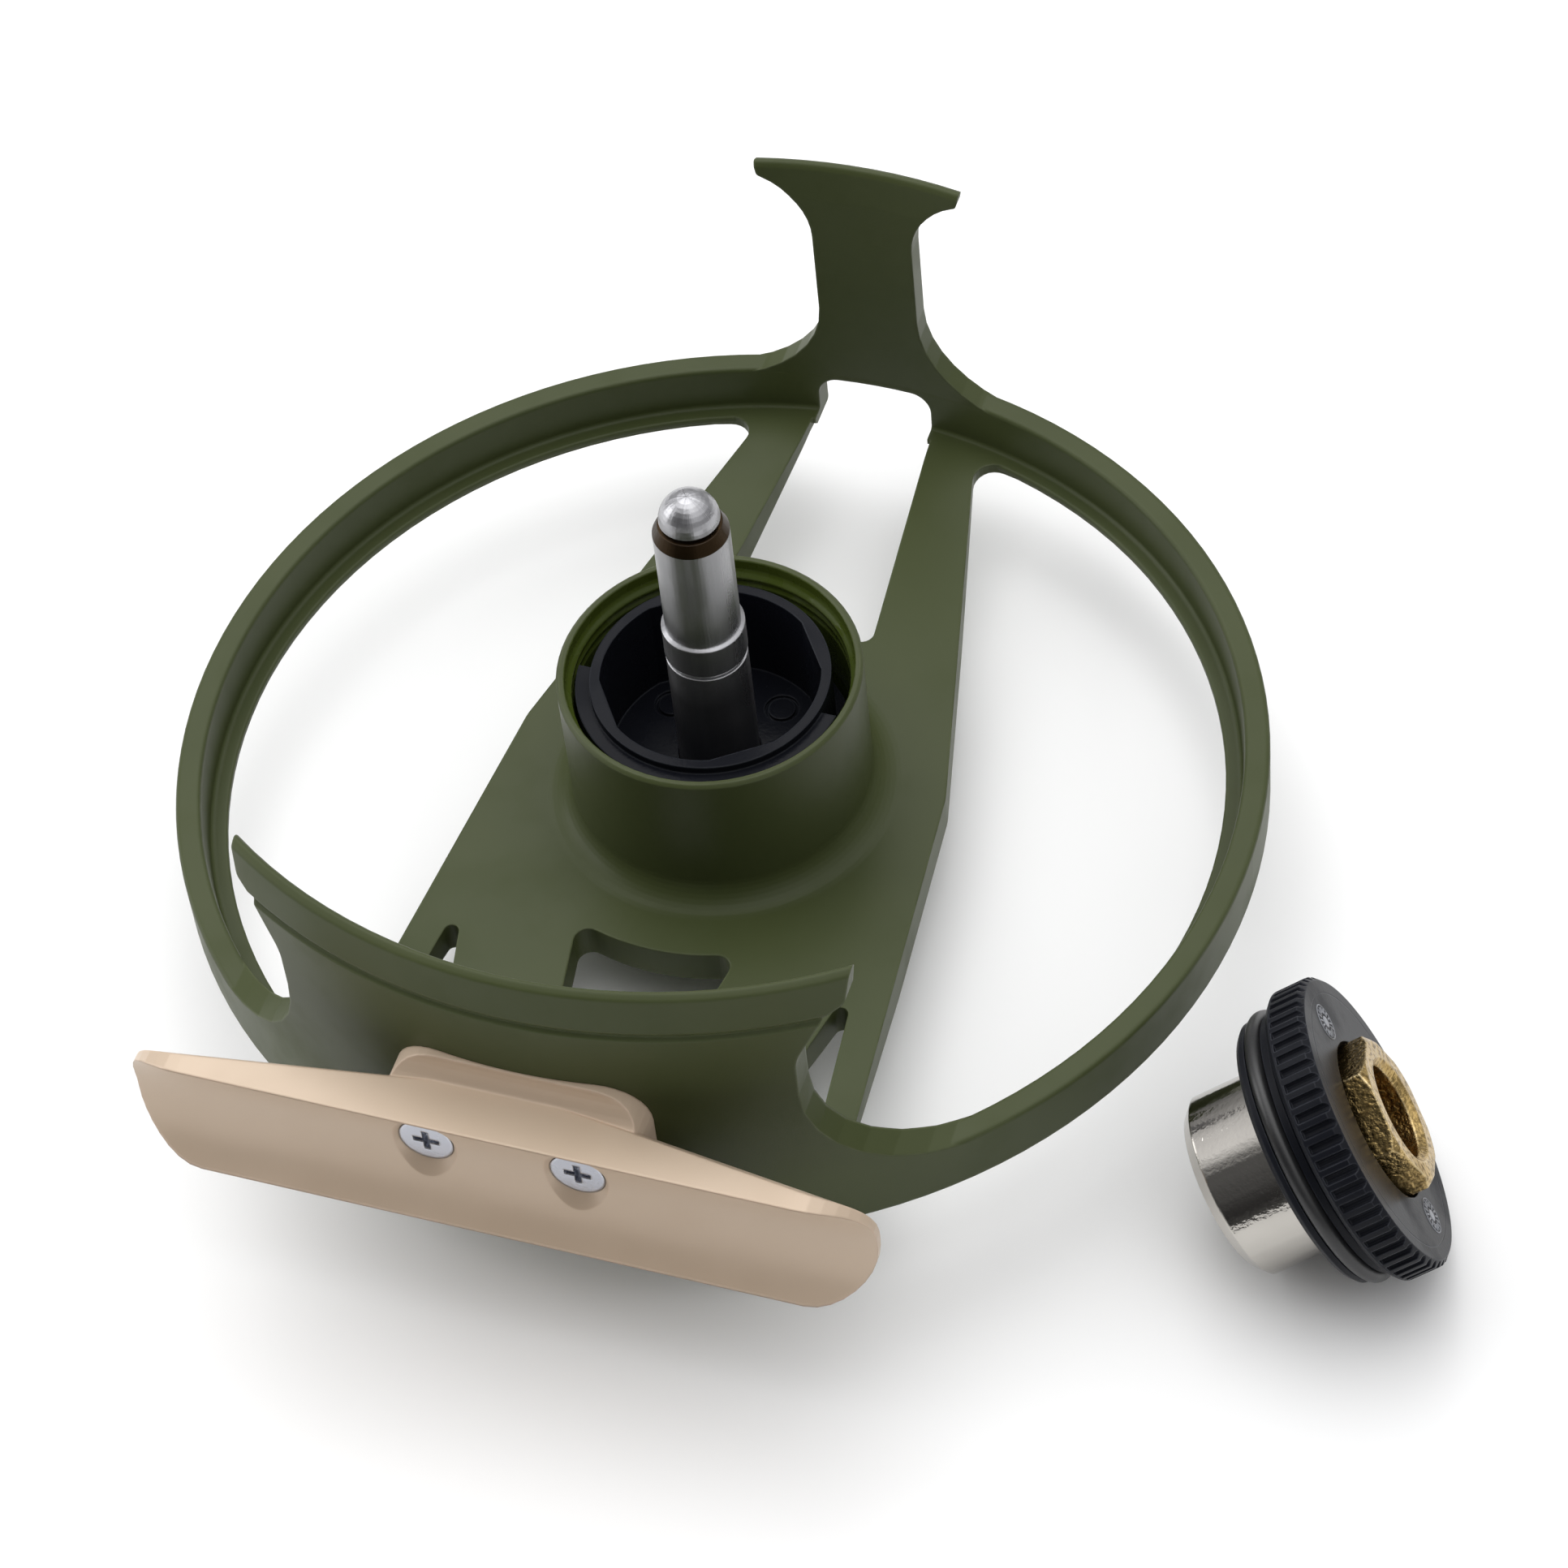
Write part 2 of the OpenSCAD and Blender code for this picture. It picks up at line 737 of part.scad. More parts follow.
module knob_nut() {
    color("goldenrod") translate([0, 0, knob_floor]) difference() {
        cylinder(r = knob_nut_r, h = nut_top - nut_h - nut_gap - knob_floor, $fn = 6);
        translate([0, 0, -past]) cylinder(r = tail_r + running, h = knob_h);
    }
}

module spring_washer() {
    rise = 0.25;
    thick = 0.2;
    color("silver") translate([0, 0, knob_block_top]) rotate_extrude() polygon([
        [pin_ring_r - 1.2, 0],
        [pin_ring_r + 1.2, rise],
        [pin_ring_r + 1.2, rise + thick],
        [pin_ring_r - 1.2, thick]
    ]);
}

module thrust_ring() {
    under = knob_block_top + 0.5;
    color("gainsboro") translate([0, 0, under]) tube(pin_ring_r + 1.5, pin_ring_r - 1.5, thrust_t);
}

module click_ball() {
    color("gainsboro") translate([click_r, 0, plate_z - click_plate_t - face_gap - ball_r])
        sphere(r = ball_r);
}

// Wire wound round z, with a ring of points at each step
module click_spring() {
    turns = 3;
    sides = 6;
    each_turn = 14;
    wire_r = 0.14;
    coil_r = ball_r - 0.2;
    foot = knob_floor + 0.4 + wire_r;
    head = plate_z - click_plate_t - face_gap - 2 * ball_r - wire_r;
    steps = turns * each_turn;
    points = [
        for (i = [0:steps], k = [0:sides - 1])
            let (
                a = 360 * i / each_turn,
                b = 360 * k / sides,
                r = coil_r + wire_r * cos(b),
                z = foot + (head - foot) * i / steps + wire_r * sin(b)
            )
            [r * cos(a), r * sin(a), z]
    ];
    walls = [
        for (i = [0:steps - 1], k = [0:sides - 1])
            let (a = i * sides + k, b = i * sides + (k + 1) % sides)
            [a, b, b + sides, a + sides]
    ];
    color("silver") translate([click_r, 0, 0]) polyhedron(
        points,
        concat([[for (k = [sides - 1:-1:0]) k]], walls, [[for (k = [0:sides - 1]) steps * sides + k]])
    );
}

// ---------------------------------------------------------------- brake

module pressure_plate() {
    color("silver") translate([0, 0, press_z]) tube(washer_out_r, disc_in_r, press_t);
}

module push_pins() {
    foot = knob_block_top + 0.5 + thrust_t;
    color("gainsboro") translate([0, 0, foot]) around(3, pin_ring_r) cylinder(r = pin_r, h = press_z - foot);
}

module lower_washer() {
    color("#2b2b2e") translate([0, 0, lower_z]) tube(washer_out_r, washer_in_r, washer_t);
}

module upper_washer() {
    color("#2b2b2e") translate([0, 0, upper_z]) tube(washer_out_r, washer_in_r, washer_t);
}

module steel_disc() {
    color("silver") translate([0, 0, disc_z]) linear_extrude(disc_t) difference() {
        union() {
            circle(r = step_r - 0.2);
            intersection() {
                keyways(0);
                circle(r = bore_r - 0.2);
            }
        }
        circle(r = disc_in_r);
    }
}

module drive_hub() {
    bore = bush_r + bush_wall;
    color("silver") rotate_extrude() polygon([
        [bore, sleeve_z],
        [sleeve_r, sleeve_z],
        [sleeve_r, hub_z],
        [hub_out_r, hub_z],
        [hub_out_r, hub_z + hub_flange_t],
        [bore, hub_z + hub_flange_t]
    ]);
}

module hub_seal() {
    color("#161618") translate([0, 0, seal_z]) rotate_extrude()
        translate([bore_r - running - seal_r, 0]) circle(r = seal_r, $fn = 32);
}

module brake_bush() {
    color("peru") translate([0, 0, sleeve_z])
        tube(bush_r + bush_wall, bush_r, brake_floor - bush_sunk - sleeve_z);
}

// Black cup: round with four flats inside, and a half skirt on the foot side
module brake_cup() {
    in_r = brake_r - brake_wall;
    bore = bush_r + bush_wall;
    flat_x = in_r - 0.45;
    groove_r = bore_r - running - 2 * seal_r;
    color("#1c1c22") difference() {
        union() {
            translate([0, 0, brake_z]) cylinder(r = brake_r, h = brake_top - brake_z);
            translate([0, 0, brake_z]) cylinder(r = skirt_r, h = seal_z + seal_r + 0.5 - brake_z);
            intersection() {
                translate([0, 0, brake_z]) cylinder(r = skirt_r, h = brake_top - skirt_sunk - brake_z);
                translate([-skirt_r, -skirt_r - 1.2, brake_z]) cube([2 * skirt_r, skirt_r, brake_top]);
            }
        }
        translate([0, 0, seal_z - seal_r]) difference() {
            cylinder(r = skirt_r + past, h = 2 * seal_r);
            translate([0, 0, -past]) cylinder(r = groove_r, h = 2 * seal_r + 2 * past);
        }
        translate([0, 0, brake_floor]) intersection() {
            cylinder(r = in_r, h = brake_top);
            rotate([0, 0, 35]) translate([-flat_x, -flat_x, 0]) cube([2 * flat_x, 2 * flat_x, brake_top]);
        }
        translate([0, 0, brake_z - past]) cylinder(r = bore, h = past + brake_floor_t - bush_sunk);
        translate([0, 0, brake_z - past]) cylinder(r = bush_r, h = brake_top);
        translate([0, 0, brake_floor - 0.35]) rotate([0, 0, 56]) around(4, 7.2) tube(1.6, 1.25, 1);
    }
}

// ---------------------------------------------------------------- cartridge

module lay_down() {
    translate(polar(ring_r + cart_gap, cart_at, flange_r * cos(cart_tilt)))
        rotate([0, 90 - cart_tilt, cart_turn]) children();
}

module clutch_can() {
    color("silver") lay_down() rotate_extrude() polygon([
        [0, can_end - can_bevel],
        [can_r - can_bevel, can_end - can_bevel],
        [can_r, can_end],
        [can_r, can_top - can_rim_t],
        [can_rim_r, can_top - can_rim_t],
        [can_rim_r, can_top],
        [can_in_r, can_top],
        [can_in_r, can_end + 0.2],
        [can_in_r - can_bevel * 0.6, can_end - can_bevel + 1],
        [0, can_end - can_bevel + 1]
    ]);
}

module end_washer() {
    color("gainsboro") lay_down() translate([0, 0, can_end - can_bevel + 1])
        tube(sleeve_out_r + 1, drive_bore_r, 0.3);
}

module clutch_cage() {
    bottom = drive_bottom + 0.4;
    color("#26262c") lay_down() translate([0, 0, bottom]) difference() {
        tube(cage_out_r, cage_in_r, cage_top - bottom);
        translate([0, 0, 0.8]) around(rollers, roller_ring_r)
            cylinder(r = roller_r + running, h = cage_top - bottom - 1.6);
    }
}

module clutch_rollers() {
    bottom = drive_bottom + 1.25;
    color("gainsboro") lay_down() translate([0, 0, bottom]) around(rollers, roller_ring_r)
        cylinder(r = roller_r, h = cage_top - bottom - 0.85);
}

module retaining_ring() {
    groove_r = 0.42;
    color("#202026") lay_down() difference() {
        rotate_extrude() polygon([
            [can_r + running, -neck_l],
            [neck_r - 0.4, -neck_l],
            [neck_r, -neck_l + 0.4],
            [neck_r, -neck_l + 0.9],
            [neck_r - 1, -neck_l + 0.9],
            [neck_r - 1, -neck_l + 2.5],
            [neck_r, -neck_l + 2.5],
            [neck_r, -0.4],
            [neck_r - 0.4, 0],
            [flange_r - 0.4, 0],
            [flange_r, 0.4],
            [flange_r, flange_t - 0.5],
            [flange_r - 0.5, flange_t],
            [face_r, flange_t],
            [face_r, face_bottom],
            [can_rim_r + loose, face_bottom],
            [can_rim_r + loose, can_seat],
            [can_r + running, can_seat]
        ]);
        translate([0, 0, 0.6]) around(ribs, flange_r - 0.05) cylinder(r = groove_r, h = flange_t, $fn = 12);
    }
}

module face_ring() {
    color("#202026") lay_down() translate([0, 0, face_bottom]) tube(face_r, face_hole_r, face_t);
}

module neck_seal() {
    seal = 0.75;
    color("#101012") lay_down() translate([0, 0, -neck_l + 1.7]) rotate_extrude()
        translate([neck_r - 1 + seal, 0]) circle(r = seal, $fn = 32);
}

module hex_drive() {
    collar_bottom = can_top + face_gap;
    collar_top = face_bottom - face_gap;
    hex_h = flange_t + hex_out - collar_top;
    chamfer_r = hex_af / 2 + 0.25;
    chamfer_slope = 1.2;
    color("goldenrod") lay_down() difference() {
        union() {
            translate([0, 0, drive_bottom]) cylinder(r = sleeve_out_r, h = collar_bottom - drive_bottom);
            translate([0, 0, collar_bottom]) cylinder(r = can_rim_r - 0.3, h = collar_top - collar_bottom);
            translate([0, 0, collar_top]) intersection() {
                cylinder(r = hex_r, h = hex_h, $fn = 6);
                cylinder(r1 = chamfer_r + chamfer_slope * hex_h, r2 = chamfer_r, h = hex_h);
            }
        }
        translate([0, 0, drive_bottom - past])
            cylinder(r = drive_bore_r, h = collar_top + hex_h - drive_bottom + 2 * past);
        translate([0, 0, collar_top + hex_h - 0.6]) cylinder(r1 = drive_bore_r, r2 = drive_bore_r + 0.9, h = 0.9);
    }
}

module drive_bush() {
    color("peru") lay_down() translate([0, 0, drive_bottom]) difference() {
        cylinder(r = drive_bore_r, h = flange_t - 0.4 - drive_bottom);
        translate([0, 0, -past]) cylinder(r = drive_bush_r, h = flange_t + 20);
    }
}

reel_frame();
reel_foot();
foot_screws();
spindle();
spindle_nut();
lock_washer();
click_plate();
lower_washer();
upper_washer();
drag_knob();
knob_cap();
knob_screws();
knob_nut();
thrust_ring();
spring_washer();
click_ball();
click_spring();
pressure_plate();
push_pins();
drive_hub();
steel_disc();
hub_seal();
brake_bush();
brake_cup();
clutch_can();
clutch_cage();
clutch_rollers();
end_washer();
retaining_ring();
face_ring();
neck_seal();
hex_drive();
drive_bush();
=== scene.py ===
"""Looks of a fly reel frame and its clutch cartridge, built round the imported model.

The reel stands level on its drag knob. The spindle axis is Z, the foot side is -Y, and all lengths are
metres.
"""

from __future__ import annotations

import json
import logging
import math
from dataclasses import dataclass
from enum import Enum

import bpy
from mathutils import Matrix, Vector

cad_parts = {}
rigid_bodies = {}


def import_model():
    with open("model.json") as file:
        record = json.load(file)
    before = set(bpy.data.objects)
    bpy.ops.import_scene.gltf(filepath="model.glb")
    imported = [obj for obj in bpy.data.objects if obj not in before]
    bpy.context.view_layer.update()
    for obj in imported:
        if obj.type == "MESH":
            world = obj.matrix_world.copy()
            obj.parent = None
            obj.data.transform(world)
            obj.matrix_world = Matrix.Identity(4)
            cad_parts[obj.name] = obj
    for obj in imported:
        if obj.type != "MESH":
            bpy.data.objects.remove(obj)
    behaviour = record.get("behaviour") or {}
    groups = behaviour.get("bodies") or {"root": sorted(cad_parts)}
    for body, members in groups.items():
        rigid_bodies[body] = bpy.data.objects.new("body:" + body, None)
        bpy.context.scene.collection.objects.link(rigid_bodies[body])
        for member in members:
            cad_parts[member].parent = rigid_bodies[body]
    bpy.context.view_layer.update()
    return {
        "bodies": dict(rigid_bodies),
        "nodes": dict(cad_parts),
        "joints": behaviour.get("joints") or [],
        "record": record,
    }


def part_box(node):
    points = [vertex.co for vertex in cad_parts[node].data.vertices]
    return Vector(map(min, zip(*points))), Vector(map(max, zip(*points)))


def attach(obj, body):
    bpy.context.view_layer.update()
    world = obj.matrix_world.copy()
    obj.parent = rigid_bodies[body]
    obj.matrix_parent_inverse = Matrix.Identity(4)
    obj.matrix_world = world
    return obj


LOG = logging.getLogger("reel")
Colour = tuple[float, float, float]
Point = tuple[float, float, float]
BARE_STEEL = ((0.55, 0.55, 0.56), (0.48, 0.48, 0.50), (0.7, 0.7, 0.72))


def rgba(colour: Colour) -> tuple[float, float, float, float]:
    """The colour with full opacity."""
    return (*colour, 1.0)


# ------------------------------------------------------------------ node helpers


class Grain(Enum):
    """Which way a finish's fine marks run."""

    NONE = "none"
    TURNED = "turned"
    STREAKS = "streaks"


class Nodes:
    """A small builder for node trees, so that each link is one short line."""

    def __init__(self, tree: bpy.types.NodeTree) -> None:
        """Wraps a tree.

        Args:
            tree: The shader or geometry tree to build in.
        """
        self.tree = tree

    def add(self, kind: str, **settings: object) -> bpy.types.Node:
        """Adds a node.

        Args:
            kind: The node's Blender type.
            **settings: Attributes to set on it.

        Returns:
            The new node.
        """
        node = self.tree.nodes.new(kind)
        for name, value in settings.items():
            setattr(node, name, value)
        return node

    def link(self, source: bpy.types.NodeSocket, target: bpy.types.NodeSocket) -> None:
        """Joins two sockets."""
        self.tree.links.new(source, target)

    def math(self, operation: str, a: object, b: object = None) -> bpy.types.NodeSocket:
        """Adds a Math node.

        Args:
            operation: Its operation.
            a: A socket or a number for the first input.
            b: A socket or a number for the second input.

        Returns:
            The node's output socket.
        """
        node = self.add("ShaderNodeMath", operation=operation)
        for index, value in enumerate((a, b)):
            if value is None:
                continue
            self.feed(value, node.inputs[index])
        return node.outputs[0]

    def feed(self, value: object, socket: bpy.types.NodeSocket) -> None:
        """Links a socket into another, or sets the other's own value."""
        if isinstance(value, bpy.types.NodeSocket):
            self.link(value, socket)
        else:
            socket.default_value = value

    def remap(
        self, value: bpy.types.NodeSocket, low: float, high: float, to_low: float, to_high: float
    ) -> bpy.types.NodeSocket:
        """Adds a clamped Map Range node.

        Args:
            value: The socket to map.
            low: The value that gives to_low.
            high: The value that gives to_high.
            to_low: The result at low.
            to_high: The result at high.

        Returns:
            The node's output socket.
        """
        node = self.add("ShaderNodeMapRange", clamp=True)
        node.inputs["From Min"].default_value = low
        node.inputs["From Max"].default_value = high
        node.inputs["To Min"].default_value = to_low
        node.inputs["To Max"].default_value = to_high
        self.link(value, node.inputs["Value"])
        return node.outputs["Result"]

    def noise(self, where: bpy.types.NodeSocket, scale: float, detail: float = 2.0) -> bpy.types.NodeSocket:
        """Adds a noise texture.

        Args:
            where: The coordinates it is read at.
            scale: Its scale.
            detail: How many finer layers it has.

        Returns:
            Its value, from 0 to 1.
        """
        node = self.add("ShaderNodeTexNoise")
        node.inputs["Scale"].default_value = scale
        node.inputs["Detail"].default_value = detail
        self.link(where, node.inputs["Vector"])
        return node.outputs["Fac"]

    def mix(self, factor: object, a: object, b: object) -> bpy.types.NodeSocket:
        """Adds a colour mix.

        Args:
            factor: How much of b it shows, as a socket or a number.
            a: The first colour.
            b: The second colour.

        Returns:
            The mixed colour.
        """
        node = self.add("ShaderNodeMix", data_type="RGBA")
        self.feed(factor, node.inputs[0])
        for value, socket in ((a, node.inputs[6]), (b, node.inputs[7])):
            self.feed(value, socket)
        return node.outputs[2]


def new_group(
    name: str, inputs: dict[str, tuple[str, object]], outputs: dict[str, str]
) -> bpy.types.NodeTree:
    """Starts a shader node group.

    Args:
        name: The group's name.
        inputs: Socket name to (socket type, default value).
        outputs: Socket name to socket type.

    Returns:
        The empty group with its sockets.
    """
    group = bpy.data.node_groups.new(name, "ShaderNodeTree")
    for label, (kind, default) in inputs.items():
        socket = group.interface.new_socket(name=label, in_out="INPUT", socket_type=kind)
        if default is not None:
            socket.default_value = default
    for label, kind in outputs.items():
        group.interface.new_socket(name=label, in_out="OUTPUT", socket_type=kind)
    return group


def edge_wear_group() -> bpy.types.NodeTree:
    """Builds the shared edge mask: bright where the surface turns sharply outwards.

    Returns:
        The group, with a mask from 0 on flat faces to 1 on edges, and a normal that rounds the edges.
    """
    group = new_group(
        "EdgeWear",
        {"Width": ("NodeSocketFloat", 0.0004), "Strength": ("NodeSocketFloat", 1.0)},
        {"Mask": "NodeSocketFloat", "Normal": "NodeSocketVector"},
    )
    n = Nodes(group)
    source = n.add("NodeGroupInput")
    sink = n.add("NodeGroupOutput")
    bevel = n.add("ShaderNodeBevel", samples=6)
    n.link(source.outputs["Width"], bevel.inputs["Radius"])
    geometry = n.add("ShaderNodeNewGeometry")
    dot = n.add("ShaderNodeVectorMath", operation="DOT_PRODUCT")
    n.link(bevel.outputs["Normal"], dot.inputs[0])
    n.link(geometry.outputs["Normal"], dot.inputs[1])
    bent = n.math("SUBTRACT", 1.0, dot.outputs["Value"])
    mask = n.remap(bent, 0.004, 0.12, 0.0, 1.0)
    coords = n.add("ShaderNodeTexCoord")
    patchy = n.remap(n.noise(coords.outputs["Object"], 260.0, 3.0), 0.35, 0.62, 0.25, 1.0)
    worn = n.math("MULTIPLY", n.math("MULTIPLY", mask, patchy), source.outputs["Strength"])
    n.link(worn, sink.inputs["Mask"])
    n.link(bevel.outputs["Normal"], sink.inputs["Normal"])
    return group


def speckle_group() -> bpy.types.NodeTree:
    """Builds the shared fine texture of a blasted or moulded surface.

    Returns:
        The group, with a fine height, a broad tone and a smudge mask, each from 0 to 1.
    """
    group = new_group(
        "Speckle",
        {"Fine Scale": ("NodeSocketFloat", 4000.0), "Broad Scale": ("NodeSocketFloat", 60.0)},
        {"Fine": "NodeSocketFloat", "Broad": "NodeSocketFloat", "Smudge": "NodeSocketFloat"},
    )
    n = Nodes(group)
    source = n.add("NodeGroupInput")
    sink = n.add("NodeGroupOutput")
    coords = n.add("ShaderNodeTexCoord")
    for label, scale_name, detail in (("Fine", "Fine Scale", 2.0), ("Broad", "Broad Scale", 4.0)):
        noise = n.add("ShaderNodeTexNoise")
        noise.inputs["Detail"].default_value = detail
        n.link(coords.outputs["Object"], noise.inputs["Vector"])
        n.link(source.outputs[scale_name], noise.inputs["Scale"])
        n.link(noise.outputs["Fac"], sink.inputs[label])
    smudge = n.remap(n.noise(coords.outputs["Object"], 130.0, 5.0), 0.5, 0.72, 0.0, 1.0)
    n.link(smudge, sink.inputs["Smudge"])
    return group


def distance_across(n: Nodes, split: bpy.types.Node) -> bpy.types.NodeSocket:
    """Adds nodes for the distance from the Z axis.

    Args:
        n: The tree's builder.
        split: A Separate XYZ node of the place.

    Returns:
        The distance.
    """
    squares = n.math("ADD", n.math("POWER", split.outputs[0], 2.0), n.math("POWER", split.outputs[1], 2.0))
    return n.math("SQRT", squares)


def turning_group() -> bpy.types.NodeTree:
    """Builds the shared pattern of fine rings left by a lathe, about an axis through a centre.

    Returns:
        The group, with a ring height and a streak value along the surface, each from 0 to 1.
    """
    group = new_group(
        "Turning",
        {
            "Centre": ("NodeSocketVector", (0.0, 0.0, 0.0)),
            "Rotation": ("NodeSocketVector", (0.0, 0.0, 0.0)),
            "Rings": ("NodeSocketFloat", 9000.0),
        },
        {"Rings": "NodeSocketFloat", "Streaks": "NodeSocketFloat"},
    )
    n = Nodes(group)
    source = n.add("NodeGroupInput")
    sink = n.add("NodeGroupOutput")
    coords = n.add("ShaderNodeTexCoord")
    moved = n.add("ShaderNodeVectorMath", operation="SUBTRACT")
    n.link(coords.outputs["Object"], moved.inputs[0])
    n.link(source.outputs["Centre"], moved.inputs[1])
    turned = n.add("ShaderNodeVectorRotate", rotation_type="EULER_XYZ", invert=True)
    n.link(moved.outputs[0], turned.inputs["Vector"])
    n.link(source.outputs["Rotation"], turned.inputs["Rotation"])
    split = n.add("ShaderNodeSeparateXYZ")
    n.link(turned.outputs[0], split.inputs[0])
    across = distance_across(n, split)
    reach = n.math("ADD", n.math("MULTIPLY", across, 1.0), split.outputs[2])
    rings = n.add("ShaderNodeTexNoise", noise_dimensions="1D")
    rings.inputs["Detail"].default_value = 2.0
    n.link(n.math("MULTIPLY", reach, source.outputs["Rings"]), rings.inputs["W"])
    rings.inputs["Scale"].default_value = 1.0
    n.link(rings.outputs["Fac"], sink.inputs["Rings"])
    angle = n.math("ARCTAN2", split.outputs[1], split.outputs[0])
    streaks = n.add("ShaderNodeTexNoise", noise_dimensions="1D")
    streaks.inputs["Scale"].default_value = 1.6
    streaks.inputs["Detail"].default_value = 3.0
    n.link(angle, streaks.inputs["W"])
    n.link(streaks.outputs["Fac"], sink.inputs["Streaks"])
    return group


class Library:
    """The shared node groups, each built once."""

    def __init__(self) -> None:
        """Builds every group."""
        self.wear = edge_wear_group()
        self.speckle = speckle_group()
        self.turning = turning_group()

    def place(self, nodes: Nodes, group: bpy.types.NodeTree, **values: object) -> bpy.types.Node:
        """Places a group in a material.

        Args:
            nodes: The material's builder.
            group: One of the shared groups.
            **values: Input values by name, with underscores for spaces.

        Returns:
            The group node.
        """
        node = nodes.add("ShaderNodeGroup", node_tree=group)
        for name, value in values.items():
            node.inputs[name.replace("_", " ")].default_value = value
        return node


# ------------------------------------------------------------------ finishes


@dataclass(frozen=True)
class Finish:
    """A surface finish, with the values that its shader uses.

    Attributes:
        name: The material's name.
        colour: Its middle colour.
        shade: A second colour for broad, soft variation.
        edge: The colour that edges wear to.
        metallic: How metallic it is.
        roughness: Its middle roughness.
        rough_spread: How far roughness varies with the smudges.
        wear: How strongly its edges wear.
        wear_width: How far from an edge the wear reaches.
        fine_scale: Scale of its finest texture.
        fine_depth: Depth of that texture.
        grain: Which way its fine marks run.
        ring_depth: Depth of those marks.
        centre: A point on the axis of its turning marks.
        rotation: The direction of that axis, as Euler angles.
        coat: Weight of a clear coat.
        coat_roughness: Roughness of that coat.
        specular: Strength of its plain reflection, where 0.5 is an ordinary coat.
    """

    name: str
    colour: Colour
    shade: Colour
    edge: Colour
    metallic: float = 0.0
    roughness: float = 0.45
    rough_spread: float = 0.06
    wear: float = 0.3
    wear_width: float = 0.0003
    fine_scale: float = 5000.0
    fine_depth: float = 0.00001
    grain: Grain = Grain.NONE
    ring_depth: float = 0.00002
    centre: Point = (0.0, 0.0, 0.0)
    rotation: Point = (0.0, 0.0, 0.0)
    coat: float = 0.0
    coat_roughness: float = 0.2
    specular: float = 0.5

    def tint(self, n: Nodes, base: bpy.types.NodeSocket, rough: bpy.types.NodeSocket) -> tuple:
        """Lets a special finish change colour and roughness from place to place.

        Args:
            n: The material's builder.
            base: The colour so far.
            rough: The roughness so far.

        Returns:
            The same colour and roughness, as the plain finish keeps both.
        """
        return base, rough

    def build(self, library: Library) -> bpy.types.Material:
        """Builds the material.

        Args:
            library: The shared node groups.

        Returns:
            The new material.
        """
        material = bpy.data.materials.new(self.name)
        material.use_nodes = True
        n = Nodes(material.node_tree)
        material.node_tree.nodes.clear()
        output = n.add("ShaderNodeOutputMaterial")
        shader = n.add("ShaderNodeBsdfPrincipled")
        n.link(shader.outputs[0], output.inputs["Surface"])
        shader.inputs["Metallic"].default_value = self.metallic
        shader.inputs["Coat Weight"].default_value = self.coat
        shader.inputs["Coat Roughness"].default_value = self.coat_roughness
        shader.inputs["Specular IOR Level"].default_value = self.specular
        speckle = library.place(n, library.speckle, Fine_Scale=self.fine_scale)
        wear = library.place(n, library.wear, Width=self.wear_width, Strength=self.wear)
        broad = n.remap(speckle.outputs["Broad"], 0.35, 0.65, 0.0, 1.0)
        base = n.mix(broad, rgba(self.colour), rgba(self.shade))
        low, high = self.roughness - self.rough_spread, self.roughness + self.rough_spread
        rough = n.remap(speckle.outputs["Smudge"], 0.0, 1.0, low, high)
        height = speckle.outputs["Fine"]
        depth = self.fine_depth
        if self.grain is not Grain.NONE:
            turning = library.place(n, library.turning, Centre=self.centre, Rotation=self.rotation)
            along = turning.outputs["Rings"] if self.grain is Grain.TURNED else turning.outputs["Streaks"]
            share = self.fine_depth / self.ring_depth
            height = n.math("ADD", along, n.math("MULTIPLY", height, share))
            depth = self.ring_depth
            rough = n.math("ADD", rough, n.remap(along, 0.3, 0.7, -self.rough_spread, self.rough_spread))
        base, rough = self.tint(n, base, rough)
        n.link(n.mix(wear.outputs["Mask"], base, rgba(self.edge)), shader.inputs["Base Color"])
        n.link(rough, shader.inputs["Roughness"])
        bump = n.add("ShaderNodeBump")
        bump.inputs["Strength"].default_value = 1.0
        bump.inputs["Distance"].default_value = depth
        n.link(height, bump.inputs["Height"])
        n.link(wear.outputs["Normal"], bump.inputs["Normal"])
        n.link(bump.outputs["Normal"], shader.inputs["Normal"])
        return material


# ------------------------------------------------------------------ studio


